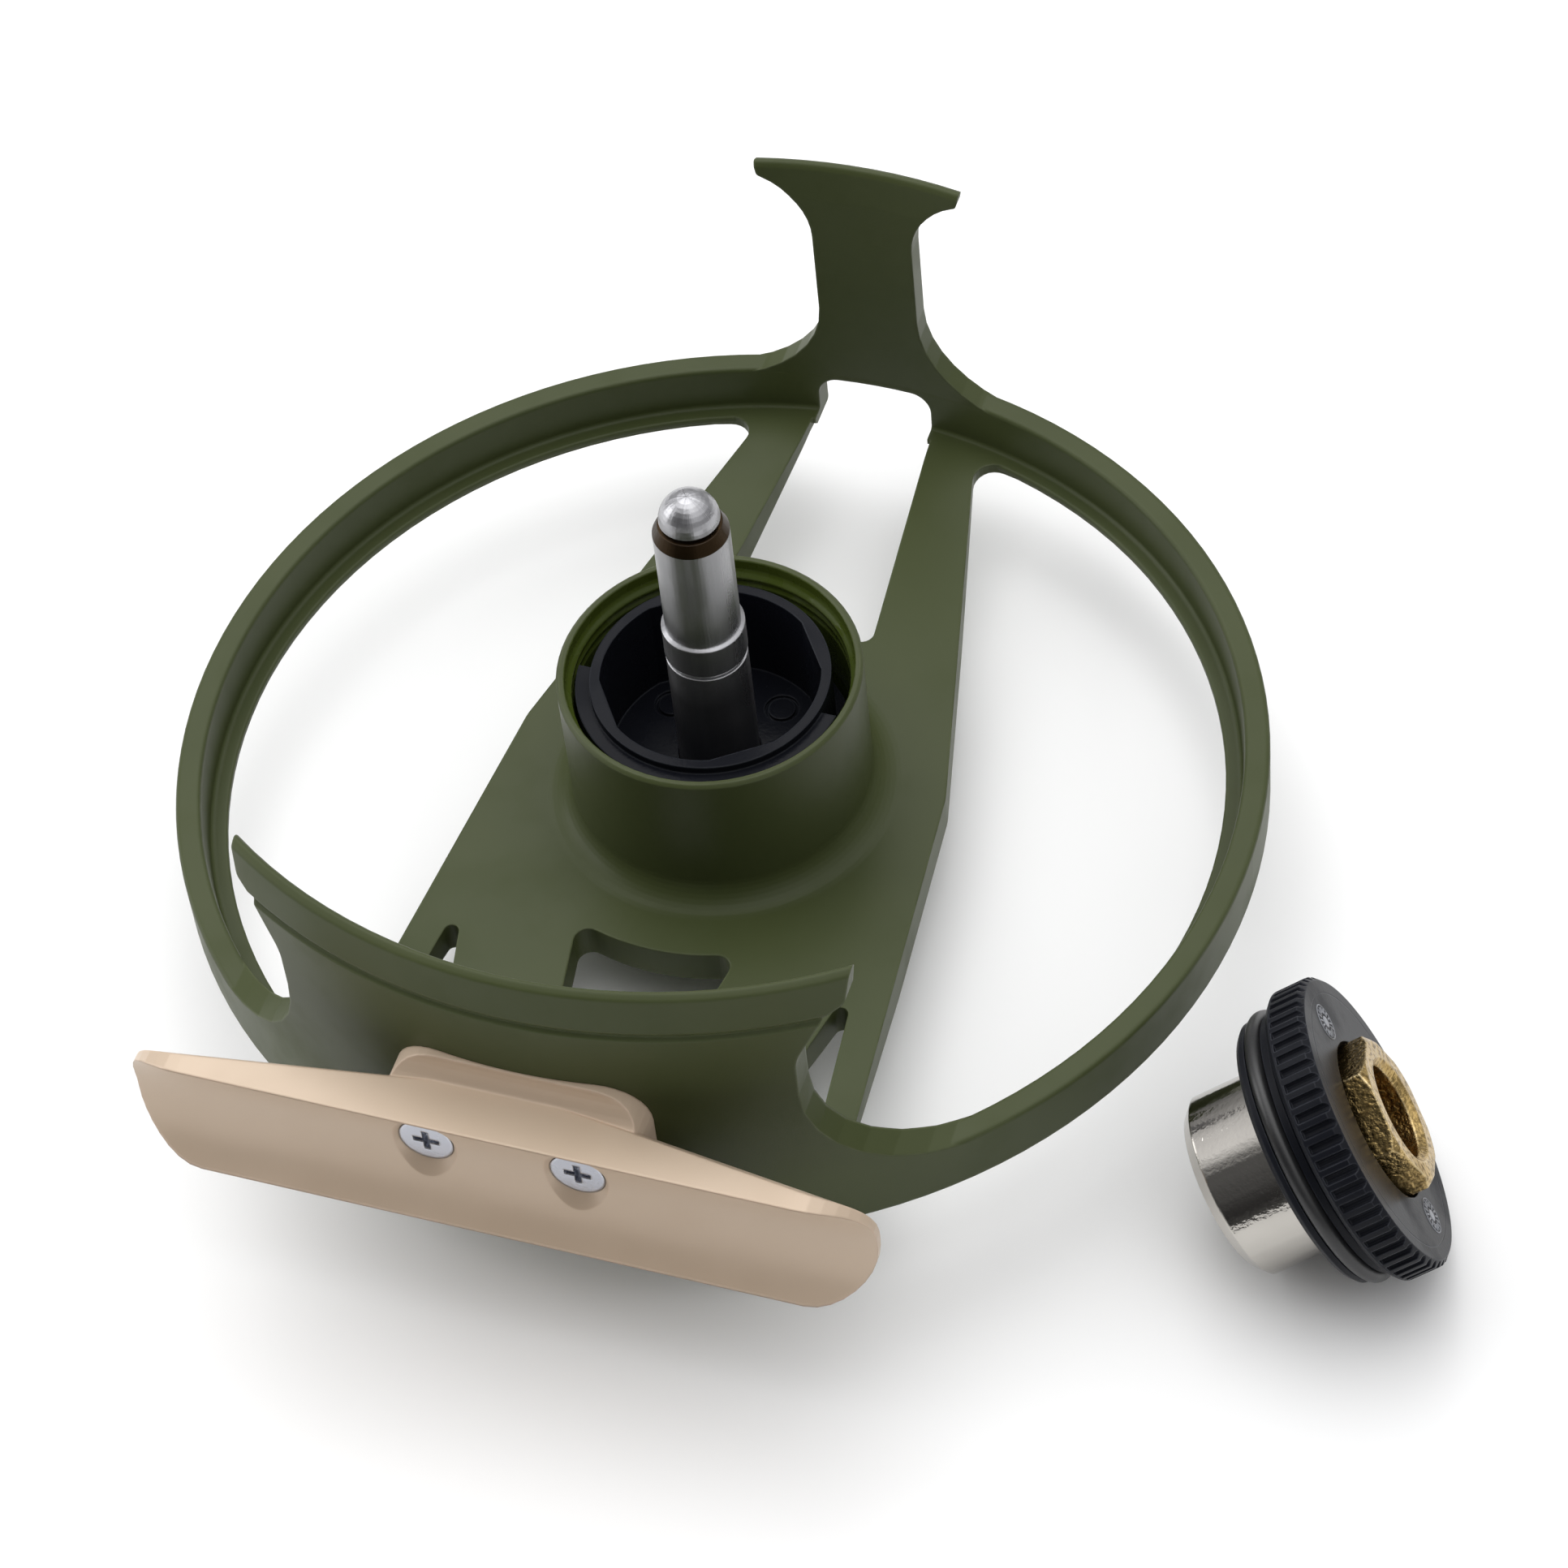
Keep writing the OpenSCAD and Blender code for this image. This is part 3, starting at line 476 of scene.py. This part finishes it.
@dataclass
class Studio:
    """The floor, sky, lights and camera.

    Attributes:
        position: Where the camera is.
        right: The picture's right, as a direction.
        up: The picture's up, as a direction.
        lens: The focal length in millimetres.
        sensor: The sensor's width in millimetres.
        floor_size: Half the floor's side.
        floor_z: The floor's height.
        paper: The floor's colour.
        sky_strength: How bright the sky is overhead.
        horizon: The sky's level at the horizon, from 0 to 1.
        sky_levels: Further heights above the horizon, each with its level.
        dark_side: The direction in which the sky is darkened.
        dark_from: The cosine to that direction at which the darkening begins.
        dark_full: The cosine at which it is full.
        darkness: How strong it is there, from 0 to 1.
        lamps: The lights: name, place, point aimed at, side and watts.
    """

    position: Point = (0.121308, -0.270404, 0.365082)
    right: Point = (0.94892277, 0.30637047, -0.07538378)
    up: Point = (-0.19131111, 0.74871578, 0.63468475)
    lens: float = 115.5
    sensor: float = 36.0
    floor_size: float = 3.0
    floor_z: float = -0.0002
    paper: Colour = (0.93, 0.93, 0.93)
    sky_strength: float = 1.6
    horizon: float = 0.12
    sky_levels: tuple[tuple[float, float], ...] = ((0.35, 0.30), (0.6, 0.66))
    dark_side: Point = (-0.26, -0.84, 0.48)
    dark_from: float = 0.66
    dark_full: float = 0.89
    darkness: float = 0.88
    lamps: tuple[tuple[str, Point, Point, float, float], ...] = (
        ("key", (-0.30, 0.42, 0.80), (0.0, 0.0, 0.01), 0.6, 2.0),
        ("top", (0.05, 0.10, 0.95), (0.02, 0.0, 0.01), 0.7, 1.2),
        ("side", (-0.75, -0.10, 0.30), (0.0, 0.0, 0.02), 0.5, 2.4),
    )

    def camera(self) -> bpy.types.Object:
        """Makes the camera and returns it."""
        data = bpy.data.cameras.new("camera")
        data.lens = self.lens
        data.sensor_width = self.sensor
        data.clip_start = 0.01
        data.clip_end = 20.0
        camera = bpy.data.objects.new("camera", data)
        bpy.context.scene.collection.objects.link(camera)
        right = Vector(self.right).normalized()
        back = right.cross(Vector(self.up)).normalized()
        up = back.cross(right).normalized()
        turn = Matrix((right, up, back)).transposed().to_4x4()
        camera.matrix_world = Matrix.Translation(self.position) @ turn
        bpy.context.scene.camera = camera
        return camera

    def floor(self) -> bpy.types.Object:
        """Makes the pale floor and returns it."""
        mesh = bpy.data.meshes.new("floor")
        half = self.floor_size
        corners = [(x * half, y * half, self.floor_z) for x, y in ((-1, -1), (1, -1), (1, 1), (-1, 1))]
        mesh.from_pydata(corners, [], [(0, 1, 2, 3)])
        floor = bpy.data.objects.new("floor", mesh)
        bpy.context.scene.collection.objects.link(floor)
        material = bpy.data.materials.new("paper")
        material.use_nodes = True
        shader = material.node_tree.nodes["Principled BSDF"]
        shader.inputs["Base Color"].default_value = rgba(self.paper)
        shader.inputs["Roughness"].default_value = 0.9
        shader.inputs["Specular IOR Level"].default_value = 0.1
        mesh.materials.append(material)
        return floor

    def area(self, name: str, place: Point, aim: Point, size: float, watts: float) -> None:
        """Adds a square area light.

        Args:
            name: The light's name.
            place: Where it is.
            aim: The point it faces.
            size: Its side.
            watts: Its power.
        """
        data = bpy.data.lights.new(name, "AREA")
        data.energy = watts
        data.size = size
        lamp = bpy.data.objects.new(name, data)
        bpy.context.scene.collection.objects.link(lamp)
        lamp.location = place
        direction = Vector(aim) - Vector(place)
        lamp.rotation_mode = "QUATERNION"
        lamp.rotation_quaternion = direction.to_track_quat("-Z", "Y")

    def sky(self) -> None:
        """Surrounds the scene with a soft sky: bright overhead, dark near the horizon and on one side."""
        world = bpy.data.worlds.new("studio")
        world.use_nodes = True
        n = Nodes(world.node_tree)
        background = world.node_tree.nodes["Background"]
        background.inputs["Strength"].default_value = self.sky_strength
        coords = n.add("ShaderNodeTexCoord")
        split = n.add("ShaderNodeSeparateXYZ")
        n.link(coords.outputs["Generated"], split.inputs[0])
        ramp = n.add("ShaderNodeValToRGB")
        stops = ramp.color_ramp.elements
        stops[0].position, stops[0].color = 0.0, (*[self.horizon] * 3, 1.0)
        stops[1].position, stops[1].color = 1.0, (1.0, 1.0, 1.0, 1.0)
        for position, level in self.sky_levels:
            stop = stops.new(position)
            stop.color = (level, level, level * 1.01, 1.0)
        n.link(split.outputs[2], ramp.inputs[0])
        toward = n.add("ShaderNodeVectorMath", operation="DOT_PRODUCT")
        n.link(coords.outputs["Generated"], toward.inputs[0])
        toward.inputs[1].default_value = Vector(self.dark_side).normalized()
        shade = n.remap(toward.outputs["Value"], self.dark_from, self.dark_full, 0.0, self.darkness)
        n.link(n.mix(shade, ramp.outputs[0], rgba((0.0, 0.0, 0.0))), background.inputs["Color"])
        bpy.context.scene.world = world

    def lights(self) -> None:
        """Adds the studio lights."""
        for lamp in self.lamps:
            self.area(*lamp)

    def build(self) -> None:
        """Makes the camera, floor, sky and lights, and sets how colours are shown."""
        self.camera()
        self.floor()
        self.sky()
        self.lights()
        bpy.context.scene.view_settings.view_transform = "Standard"


# ------------------------------------------------------------------ special finishes


def radius_nodes(n: Nodes) -> tuple[bpy.types.Node, bpy.types.NodeSocket]:
    """Adds nodes for the place on the object.

    Args:
        n: The material's builder.

    Returns:
        A Separate XYZ node of Object coordinates, and the distance from the Z axis.
    """
    coords = n.add("ShaderNodeTexCoord")
    split = n.add("ShaderNodeSeparateXYZ")
    n.link(coords.outputs["Object"], split.inputs[0])
    return split, distance_across(n, split)


@dataclass(frozen=True)
class HubPaint(Finish):
    """The frame's paint, which is greased and yellower inside the hub cup.

    Attributes:
        bore: Radius of the greased zone round the spindle axis.
        floor: Height above which the greased zone begins.
        grease: Colour of the greased paint.
    """

    bore: float = 0.0
    floor: float = 0.0
    grease: Colour = (0.05, 0.07, 0.01)

    def tint(self, n: Nodes, base: bpy.types.NodeSocket, rough: bpy.types.NodeSocket) -> tuple:
        """Greases the inside of the cup.

        Args:
            n: The material's builder.
            base: The colour so far.
            rough: The roughness so far.

        Returns:
            The new colour and roughness.
        """
        split, across = radius_nodes(n)
        near = n.math("LESS_THAN", across, self.bore)
        inside = n.math("MULTIPLY", near, n.math("GREATER_THAN", split.outputs[2], self.floor))
        coords = n.add("ShaderNodeTexCoord")
        wet = n.remap(n.noise(coords.outputs["Object"], 420.0, 4.0), 0.42, 0.6, 0.12, 0.42)
        colour = n.mix(inside, base, rgba(self.grease))
        node = n.add("ShaderNodeMix", data_type="FLOAT")
        n.link(inside, node.inputs[0])
        n.link(rough, node.inputs[2])
        n.link(wet, node.inputs[3])
        return colour, node.outputs[0]


@dataclass(frozen=True)
class SpindleSteel(Finish):
    """Satin steel with painted shade darkening its lower part, and an oily latch groove.

    Attributes:
        dark_below: Height under which shade is painted on the steel.
        fade: Length over which that painted shade deepens.
        shadow: Colour of the painted shade.
        oil_low: Bottom of the oily band under the dome.
        oil_high: Top of that band.
        oil: Colour of the oil.
    """

    dark_below: float = 0.0
    fade: float = 0.004
    shadow: Colour = (0.24, 0.24, 0.25)
    oil_low: float = 0.0
    oil_high: float = 0.0
    oil: Colour = (0.03, 0.018, 0.008)

    def tint(self, n: Nodes, base: bpy.types.NodeSocket, rough: bpy.types.NodeSocket) -> tuple:
        """Paints shade on the lower steel and oils the groove.

        Args:
            n: The material's builder.
            base: The colour so far.
            rough: The roughness so far.

        Returns:
            The new colour and roughness.
        """
        split, _ = radius_nodes(n)
        height = split.outputs[2]
        # Painted shade: the steel's colour darkens towards the bottom of the spindle.
        lower = n.remap(height, self.dark_below - self.fade, self.dark_below, 0.8, 0.0)
        dark = n.mix(lower, base, rgba(self.shadow))
        above = n.math("GREATER_THAN", height, self.oil_low)
        band = n.math("MULTIPLY", above, n.math("LESS_THAN", height, self.oil_high))
        return n.mix(band, dark, rgba(self.oil)), rough


@dataclass(frozen=True)
class GrimyMetal(Finish):
    """Machined metal with dark, greasy grime in patches.

    Attributes:
        grime: Colour of the grime.
        grime_scale: Scale of its patches.
        cover: How much of the surface it covers, from 0 to 1.
    """

    grime: Colour = (0.14, 0.092, 0.032)
    grime_scale: float = 2200.0
    cover: float = 0.34

    def tint(self, n: Nodes, base: bpy.types.NodeSocket, rough: bpy.types.NodeSocket) -> tuple:
        """Spreads the grime.

        Args:
            n: The material's builder.
            base: The colour so far.
            rough: The roughness so far.

        Returns:
            The new colour and roughness.
        """
        coords = n.add("ShaderNodeTexCoord")
        noise = n.noise(coords.outputs["Object"], self.grime_scale, 6.0)
        middle = 0.5 + (0.5 - self.cover) * 0.3
        mask = n.remap(noise, middle - 0.08, middle + 0.12, 0.0, 0.9)
        return n.mix(mask, base, rgba(self.grime)), n.math("ADD", rough, n.math("MULTIPLY", mask, 0.15))


# ------------------------------------------------------------------ mesh helpers


def add_mesh(name: str, mesh: bpy.types.Mesh, material: bpy.types.Material) -> bpy.types.Object:
    """Makes an object of a mesh and gives it its material."""
    if not mesh.materials:
        mesh.materials.append(material)
    piece = bpy.data.objects.new(name, mesh)
    bpy.context.scene.collection.objects.link(piece)
    return piece


@dataclass
class Axis:
    """A line that a piece is turned about, with the piece's own X direction across it.

    Attributes:
        origin: A point on the line.
        direction: Its direction.
    """

    origin: Vector
    direction: Vector

    def frame(self) -> Matrix:
        """A matrix that takes +Z to the line's direction and the origin to its point."""
        z = self.direction.normalized()
        x = Vector((0, 0, 1)).cross(z)
        x = x.normalized() if x.length > 1e-6 else Vector((1, 0, 0))
        y = z.cross(x)
        turn = Matrix((x, y, z)).transposed().to_4x4()
        return Matrix.Translation(self.origin) @ turn

    def euler(self) -> Point:
        """The frame's turn as Euler angles."""
        return tuple(self.frame().to_euler("XYZ"))


# ------------------------------------------------------------------ geometry trees


class TickRing:
    """A ring of short radial ticks with a round boss in the middle, made by Geometry Nodes."""

    INPUTS = (
        ("Count", "NodeSocketInt"),
        ("Radius", "NodeSocketFloat"),
        ("Tick Size", "NodeSocketVector"),
        ("Boss Radius", "NodeSocketFloat"),
        ("Rim Radius", "NodeSocketFloat"),
        ("Material", "NodeSocketMaterial"),
    )

    def __init__(self) -> None:
        """Builds the tree."""
        self.tree = bpy.data.node_groups.new("TickRing", "GeometryNodeTree")
        self.sockets: dict[str, str] = {}
        for label, kind in self.INPUTS:
            socket = self.tree.interface.new_socket(name=label, in_out="INPUT", socket_type=kind)
            self.sockets[label] = socket.identifier
        self.tree.interface.new_socket(name="Geometry", in_out="OUTPUT", socket_type="NodeSocketGeometry")
        n = Nodes(self.tree)
        source = n.add("NodeGroupInput")
        sink = n.add("NodeGroupOutput")
        ring = n.add("GeometryNodeMeshCircle")
        n.link(source.outputs["Count"], ring.inputs["Vertices"])
        n.link(source.outputs["Radius"], ring.inputs["Radius"])
        tick = n.add("GeometryNodeMeshCube")
        n.link(source.outputs["Tick Size"], tick.inputs["Size"])
        face_out = n.add("FunctionNodeAlignRotationToVector", axis="X")
        place = n.add("GeometryNodeInputPosition")
        n.link(place.outputs[0], face_out.inputs["Vector"])
        spread = n.add("GeometryNodeInstanceOnPoints")
        n.link(ring.outputs["Mesh"], spread.inputs["Points"])
        n.link(tick.outputs["Mesh"], spread.inputs["Instance"])
        n.link(face_out.outputs[0], spread.inputs["Rotation"])
        size = n.add("ShaderNodeSeparateXYZ")
        n.link(source.outputs["Tick Size"], size.inputs[0])
        boss = n.add("GeometryNodeMeshCylinder")
        boss.inputs["Vertices"].default_value = 32
        n.link(source.outputs["Boss Radius"], boss.inputs["Radius"])
        n.link(size.outputs[2], boss.inputs["Depth"])
        path = n.add("GeometryNodeCurvePrimitiveCircle")
        path.inputs["Resolution"].default_value = 48
        n.link(source.outputs["Rim Radius"], path.inputs["Radius"])
        wire = n.add("GeometryNodeCurvePrimitiveCircle")
        wire.inputs["Resolution"].default_value = 8
        n.link(n.math("MULTIPLY", size.outputs[2], 0.5), wire.inputs["Radius"])
        rim = n.add("GeometryNodeCurveToMesh")
        n.link(path.outputs["Curve"], rim.inputs["Curve"])
        n.link(wire.outputs["Curve"], rim.inputs["Profile Curve"])
        join = n.add("GeometryNodeJoinGeometry")
        for made in (spread.outputs["Instances"], boss.outputs["Mesh"], rim.outputs["Mesh"]):
            n.link(made, join.inputs[0])
        real = n.add("GeometryNodeRealizeInstances")
        n.link(join.outputs[0], real.inputs[0])
        dress = n.add("GeometryNodeSetMaterial")
        n.link(real.outputs[0], dress.inputs["Geometry"])
        n.link(source.outputs["Material"], dress.inputs["Material"])
        n.link(dress.outputs[0], sink.inputs[0])

    def make(self, name: str, **values: object) -> bpy.types.Mesh:
        """Runs the tree.

        Args:
            name: The new mesh's name.
            **values: Input values by name, with underscores for spaces.

        Returns:
            The finished mesh.
        """
        return run_tree(self.tree, self.sockets, name, values)


def run_tree(
    tree: bpy.types.NodeTree, sockets: dict[str, str], name: str, values: dict[str, object]
) -> bpy.types.Mesh:
    """Runs a geometry tree on an empty mesh.

    Args:
        tree: The tree.
        sockets: Input name to socket identifier.
        name: The new mesh's name.
        values: Input values by name, with underscores for spaces.

    Returns:
        The plain mesh that the tree makes.
    """
    host = bpy.data.objects.new(name + "_host", bpy.data.meshes.new(name + "_host"))
    bpy.context.scene.collection.objects.link(host)
    modifier = host.modifiers.new("nodes", "NODES")
    modifier.node_group = tree
    for label, value in values.items():
        modifier[sockets[label.replace("_", " ")]] = value
    host.update_tag()
    graph = bpy.context.evaluated_depsgraph_get()
    mesh = bpy.data.meshes.new_from_object(host.evaluated_get(graph))
    host.modifiers.remove(modifier)
    bpy.data.objects.remove(host)
    mesh.name = name
    return mesh


# ------------------------------------------------------------------ sub-assemblies


@dataclass
class Part:
    """What every sub-assembly shares.

    Attributes:
        library: The shared node groups.
    """

    frame: dict
    library: Library

    def dress(self, finish: Finish, *nodes: str) -> bpy.types.Material:
        """Gives CAD nodes a finish.

        Args:
            finish: The finish to build.
            *nodes: The CAD nodes that get it.

        Returns:
            The material.
        """
        material = finish.build(self.library)
        for name in nodes:
            mesh = self.frame["nodes"][name].data
            mesh.materials.clear()
            mesh.materials.append(material)
            LOG.info("dressed %s in %s", name, finish.name)
        return material

    def add(
        self, name: str, mesh: bpy.types.Mesh, material: bpy.types.Material, body: str, slot: str
    ) -> bpy.types.Object:
        """Adds a piece that rides on a body.

        Args:
            name: The piece's name.
            mesh: Its mesh, already in place.
            material: Its material.
            body: The CAD body that it rides on.
            slot: Not used.

        Returns:
            The piece.
        """
        piece = add_mesh(name, mesh, material)
        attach(piece, body)
        LOG.info("added %s on %s, %d faces", name, body, len(mesh.polygons))
        return piece


@dataclass
class FrameAndFoot(Part):
    """The painted frame, the tan foot and its screws.

    Attributes:
        olive: The frame's colour.
        olive_shade: Its second colour.
        olive_edge: The colour its edges wear to.
        tan: The foot's colour.
        tan_shade: Its second colour.
        tan_edge: The colour its edges wear to.
        grease_radius: Radius of the greased zone in the hub cup.
        grease_drop: How far that zone reaches below the brake cup's foot.
    """

    olive: Colour = (0.051, 0.062, 0.022)
    olive_shade: Colour = (0.045, 0.056, 0.019)
    olive_edge: Colour = (0.16, 0.18, 0.10)
    tan: Colour = (0.56, 0.44, 0.33)
    tan_shade: Colour = (0.54, 0.42, 0.31)
    tan_edge: Colour = (0.80, 0.55, 0.42)
    grease_radius: float = 0.01315
    grease_drop: float = 0.004

    def build(self) -> None:
        """Dresses the frame, foot and screws."""
        cup_low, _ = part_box("brake_cup")
        self.dress(
            HubPaint(
                "olive paint", self.olive, self.olive_shade, self.olive_edge,
                roughness=0.46, rough_spread=0.05, wear=0.45, specular=0.2,
                fine_scale=6500.0, fine_depth=0.000006,
                bore=self.grease_radius, floor=cup_low.z - self.grease_drop,
            ),
            "reel_frame",
        )
        self.dress(
            Finish(
                "tan anodise", self.tan, self.tan_shade, self.tan_edge,
                metallic=0.15, roughness=0.42, wear=0.35, fine_scale=7000.0, fine_depth=0.000005,
            ),
            "reel_foot",
        )
        self.dress(
            Finish(
                "zinc", (0.52, 0.54, 0.60), (0.46, 0.48, 0.54), (0.75, 0.77, 0.82),
                metallic=1.0, roughness=0.30, wear=0.6, fine_scale=3000.0, fine_depth=0.00001,
            ),
            "foot_screws", "spindle_nut", "lock_washer", "knob_screws",
        )


@dataclass
class Hub(Part):
    """The spindle and the brake in the hub cup, and the small pieces of their kinds elsewhere.

    Attributes:
        shade_drop: How far below the spindle's tip the painted shade begins.
        oil_bottom: How far below the tip the oily groove ends.
        oil_top: How far below the tip the oily groove begins.
    """

    shade_drop: float = 0.0200
    oil_bottom: float = 0.0044
    oil_top: float = 0.0030

    def build(self) -> None:
        """Dresses the spindle, the brake and the small pieces."""
        _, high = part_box("spindle")
        self.dress(
            SpindleSteel(
                "polished steel", (0.44, 0.44, 0.455), (0.32, 0.32, 0.335), (0.46, 0.46, 0.48),
                metallic=0.93, roughness=0.38, rough_spread=0.07, wear=0.08, wear_width=0.00015,
                grain=Grain.STREAKS, ring_depth=0.0001, dark_below=high.z - self.shade_drop,
                oil_low=high.z - self.oil_bottom, oil_high=high.z - self.oil_top,
            ),
            "spindle",
        )
        self.dress(
            Finish(
                "black moulding", (0.0055, 0.006, 0.009), (0.009, 0.010, 0.0135), (0.06, 0.065, 0.075),
                roughness=0.36, rough_spread=0.12, specular=0.07, wear=0.5, wear_width=0.00025,
                fine_scale=2600.0, fine_depth=0.00002,
            ),
            "brake_cup",
        )
        self.dress(
            Finish("ground steel", *BARE_STEEL, metallic=1.0, roughness=0.3),
            "click_plate", "steel_disc", "pressure_plate", "push_pins",
            "spring_washer", "click_ball", "click_spring", "drive_hub",
        )
        self.dress(
            Finish(
                "bronze", (0.42, 0.26, 0.13), (0.36, 0.22, 0.10), (0.55, 0.36, 0.2),
                metallic=1.0, roughness=0.45,
            ),
            "brake_bush", "drive_bush",
        )
        self.dress(
            Finish(
                "seal rubber", (0.010, 0.010, 0.011), (0.014, 0.014, 0.015), (0.03, 0.03, 0.03),
                roughness=0.4,
            ),
            "hub_seal", "neck_seal",
        )
        self.dress(
            Finish(
                "woven carbon", (0.018, 0.018, 0.02), (0.03, 0.03, 0.033), (0.05, 0.05, 0.05),
                roughness=0.4,
            ),
            "lower_washer", "upper_washer",
        )
        self.dress(
            Finish("acetal", (0.58, 0.57, 0.53), (0.52, 0.51, 0.47), (0.65, 0.64, 0.6), roughness=0.4),
            "thrust_ring", "clutch_cage",
        )


@dataclass
class Knob(Part):
    """The drag knob under the frame."""

    def build(self) -> None:
        """Dresses the knob and its cover."""
        self.dress(
            Finish(
                "knob anodise", (0.043, 0.048, 0.020), (0.038, 0.042, 0.018), (0.18, 0.19, 0.11),
                specular=0.3, roughness=0.42, wear=0.5, fine_depth=0.000006,
            ),
            "drag_knob",
        )
        self.dress(
            Finish(
                "knob cover", (0.043, 0.051, 0.018), (0.038, 0.046, 0.016), (0.16, 0.18, 0.10),
                specular=0.3, roughness=0.36, wear=0.4, grain=Grain.TURNED, ring_depth=0.000006,
            ),
            "knob_cap",
        )


@dataclass
class Cartridge(Part):
    """The one-way clutch cartridge.

    Attributes:
        ticks: How many ticks each ring has.
        tick_ring: Radius of the ring through their middles.
        tick_size: Length, width and height of a tick.
        boss_radius: Radius of the boss in the middle.
        rim_radius: Radius of the thin rim round the ticks.
        emblem_offset: How far each tick ring is from the cartridge's axis.
        emblem_angles: Where they are round that axis, in degrees.
    """

    ticks: int = 16
    tick_ring: float = 0.00112
    tick_size: Point = (0.0006, 0.00016, 0.00014)
    boss_radius: float = 0.00055
    rim_radius: float = 0.0016
    emblem_offset: float = 0.0096
    emblem_angles: tuple[float, ...] = (50.0, 230.0)

    def axis(self) -> Axis:
        """The cartridge's axis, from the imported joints."""
        joint = next(j for j in self.frame["joints"] if j["name"] == "clutch_turn")
        return Axis(Vector(joint["pos_m"]), Vector(joint["axis"]))

    def build(self) -> None:
        """Dresses the cartridge and adds the tick rings on its face."""
        axis = self.axis()
        centre = tuple(axis.origin)
        turn = axis.euler()
        self.dress(
            Finish(
                "bright nickel", (0.48, 0.46, 0.425), (0.38, 0.36, 0.335), (0.8, 0.78, 0.75),
                metallic=1.0, roughness=0.12, rough_spread=0.05, wear=0.2,
                fine_scale=2600.0, fine_depth=0.000016,
                grain=Grain.STREAKS, ring_depth=0.00012, centre=centre, rotation=turn,
            ),
            "clutch_can",
        )
        self.dress(
            Finish("roller steel", *BARE_STEEL, metallic=1.0, roughness=0.2),
            "clutch_rollers", "end_washer",
        )
        self.dress(
            Finish(
                "ribbed moulding", (0.006, 0.0065, 0.0095), (0.010, 0.011, 0.0145), (0.075, 0.08, 0.095),
                specular=0.09, roughness=0.42, rough_spread=0.1, wear=0.55, wear_width=0.0002,
                fine_scale=3200.0, fine_depth=0.00001,
            ),
            "retaining_ring", "face_ring",
        )
        self.dress(
            GrimyMetal(
                "brass", (0.56, 0.40, 0.17), (0.42, 0.29, 0.11), (0.85, 0.72, 0.46),
                metallic=1.0, roughness=0.34, rough_spread=0.12, wear=0.7, wear_width=0.0003,
                fine_scale=2200.0, fine_depth=0.00012,
            ),
            "hex_drive", "knob_nut",
        )
        worn = Finish(
            "worn moulding", (0.30, 0.31, 0.34), (0.22, 0.23, 0.25), (0.35, 0.36, 0.39), roughness=0.5,
        )
        self.emblems(axis, worn.build(self.library))

    def emblems(self, axis: Axis, material: bpy.types.Material) -> None:
        """Adds the two plain tick rings on the face ring.

        Args:
            axis: The cartridge's axis.
            material: Their material.
        """
        tree = TickRing()
        place = axis.frame()
        inverse = place.inverted()
        top = max((inverse @ v.co).z for v in self.frame["nodes"]["face_ring"].data.vertices)
        for index, degrees in enumerate(self.emblem_angles):
            mesh = tree.make(
                f"tick_ring_{index + 1}",
                Count=self.ticks, Radius=self.tick_ring, Tick_Size=self.tick_size,
                Boss_Radius=self.boss_radius, Rim_Radius=self.rim_radius, Material=material,
            )
            angle = math.radians(degrees)
            offset = Vector((math.cos(angle), math.sin(angle), 0)) * self.emblem_offset
            mesh.transform(place @ Matrix.Translation(offset + Vector((0, 0, top))))
            self.add(f"tick_ring_{index + 1}", mesh, material, "cartridge", "black_moulding")


def main() -> None:
    """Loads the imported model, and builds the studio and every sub-assembly."""
    logging.basicConfig(level=logging.INFO, format="%(name)s: %(message)s")
    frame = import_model()
    Studio().build()
    library = Library()
    for assembly in (FrameAndFoot, Hub, Knob, Cartridge):
        assembly(frame, library).build()


if __name__ == "__main__":
    main()
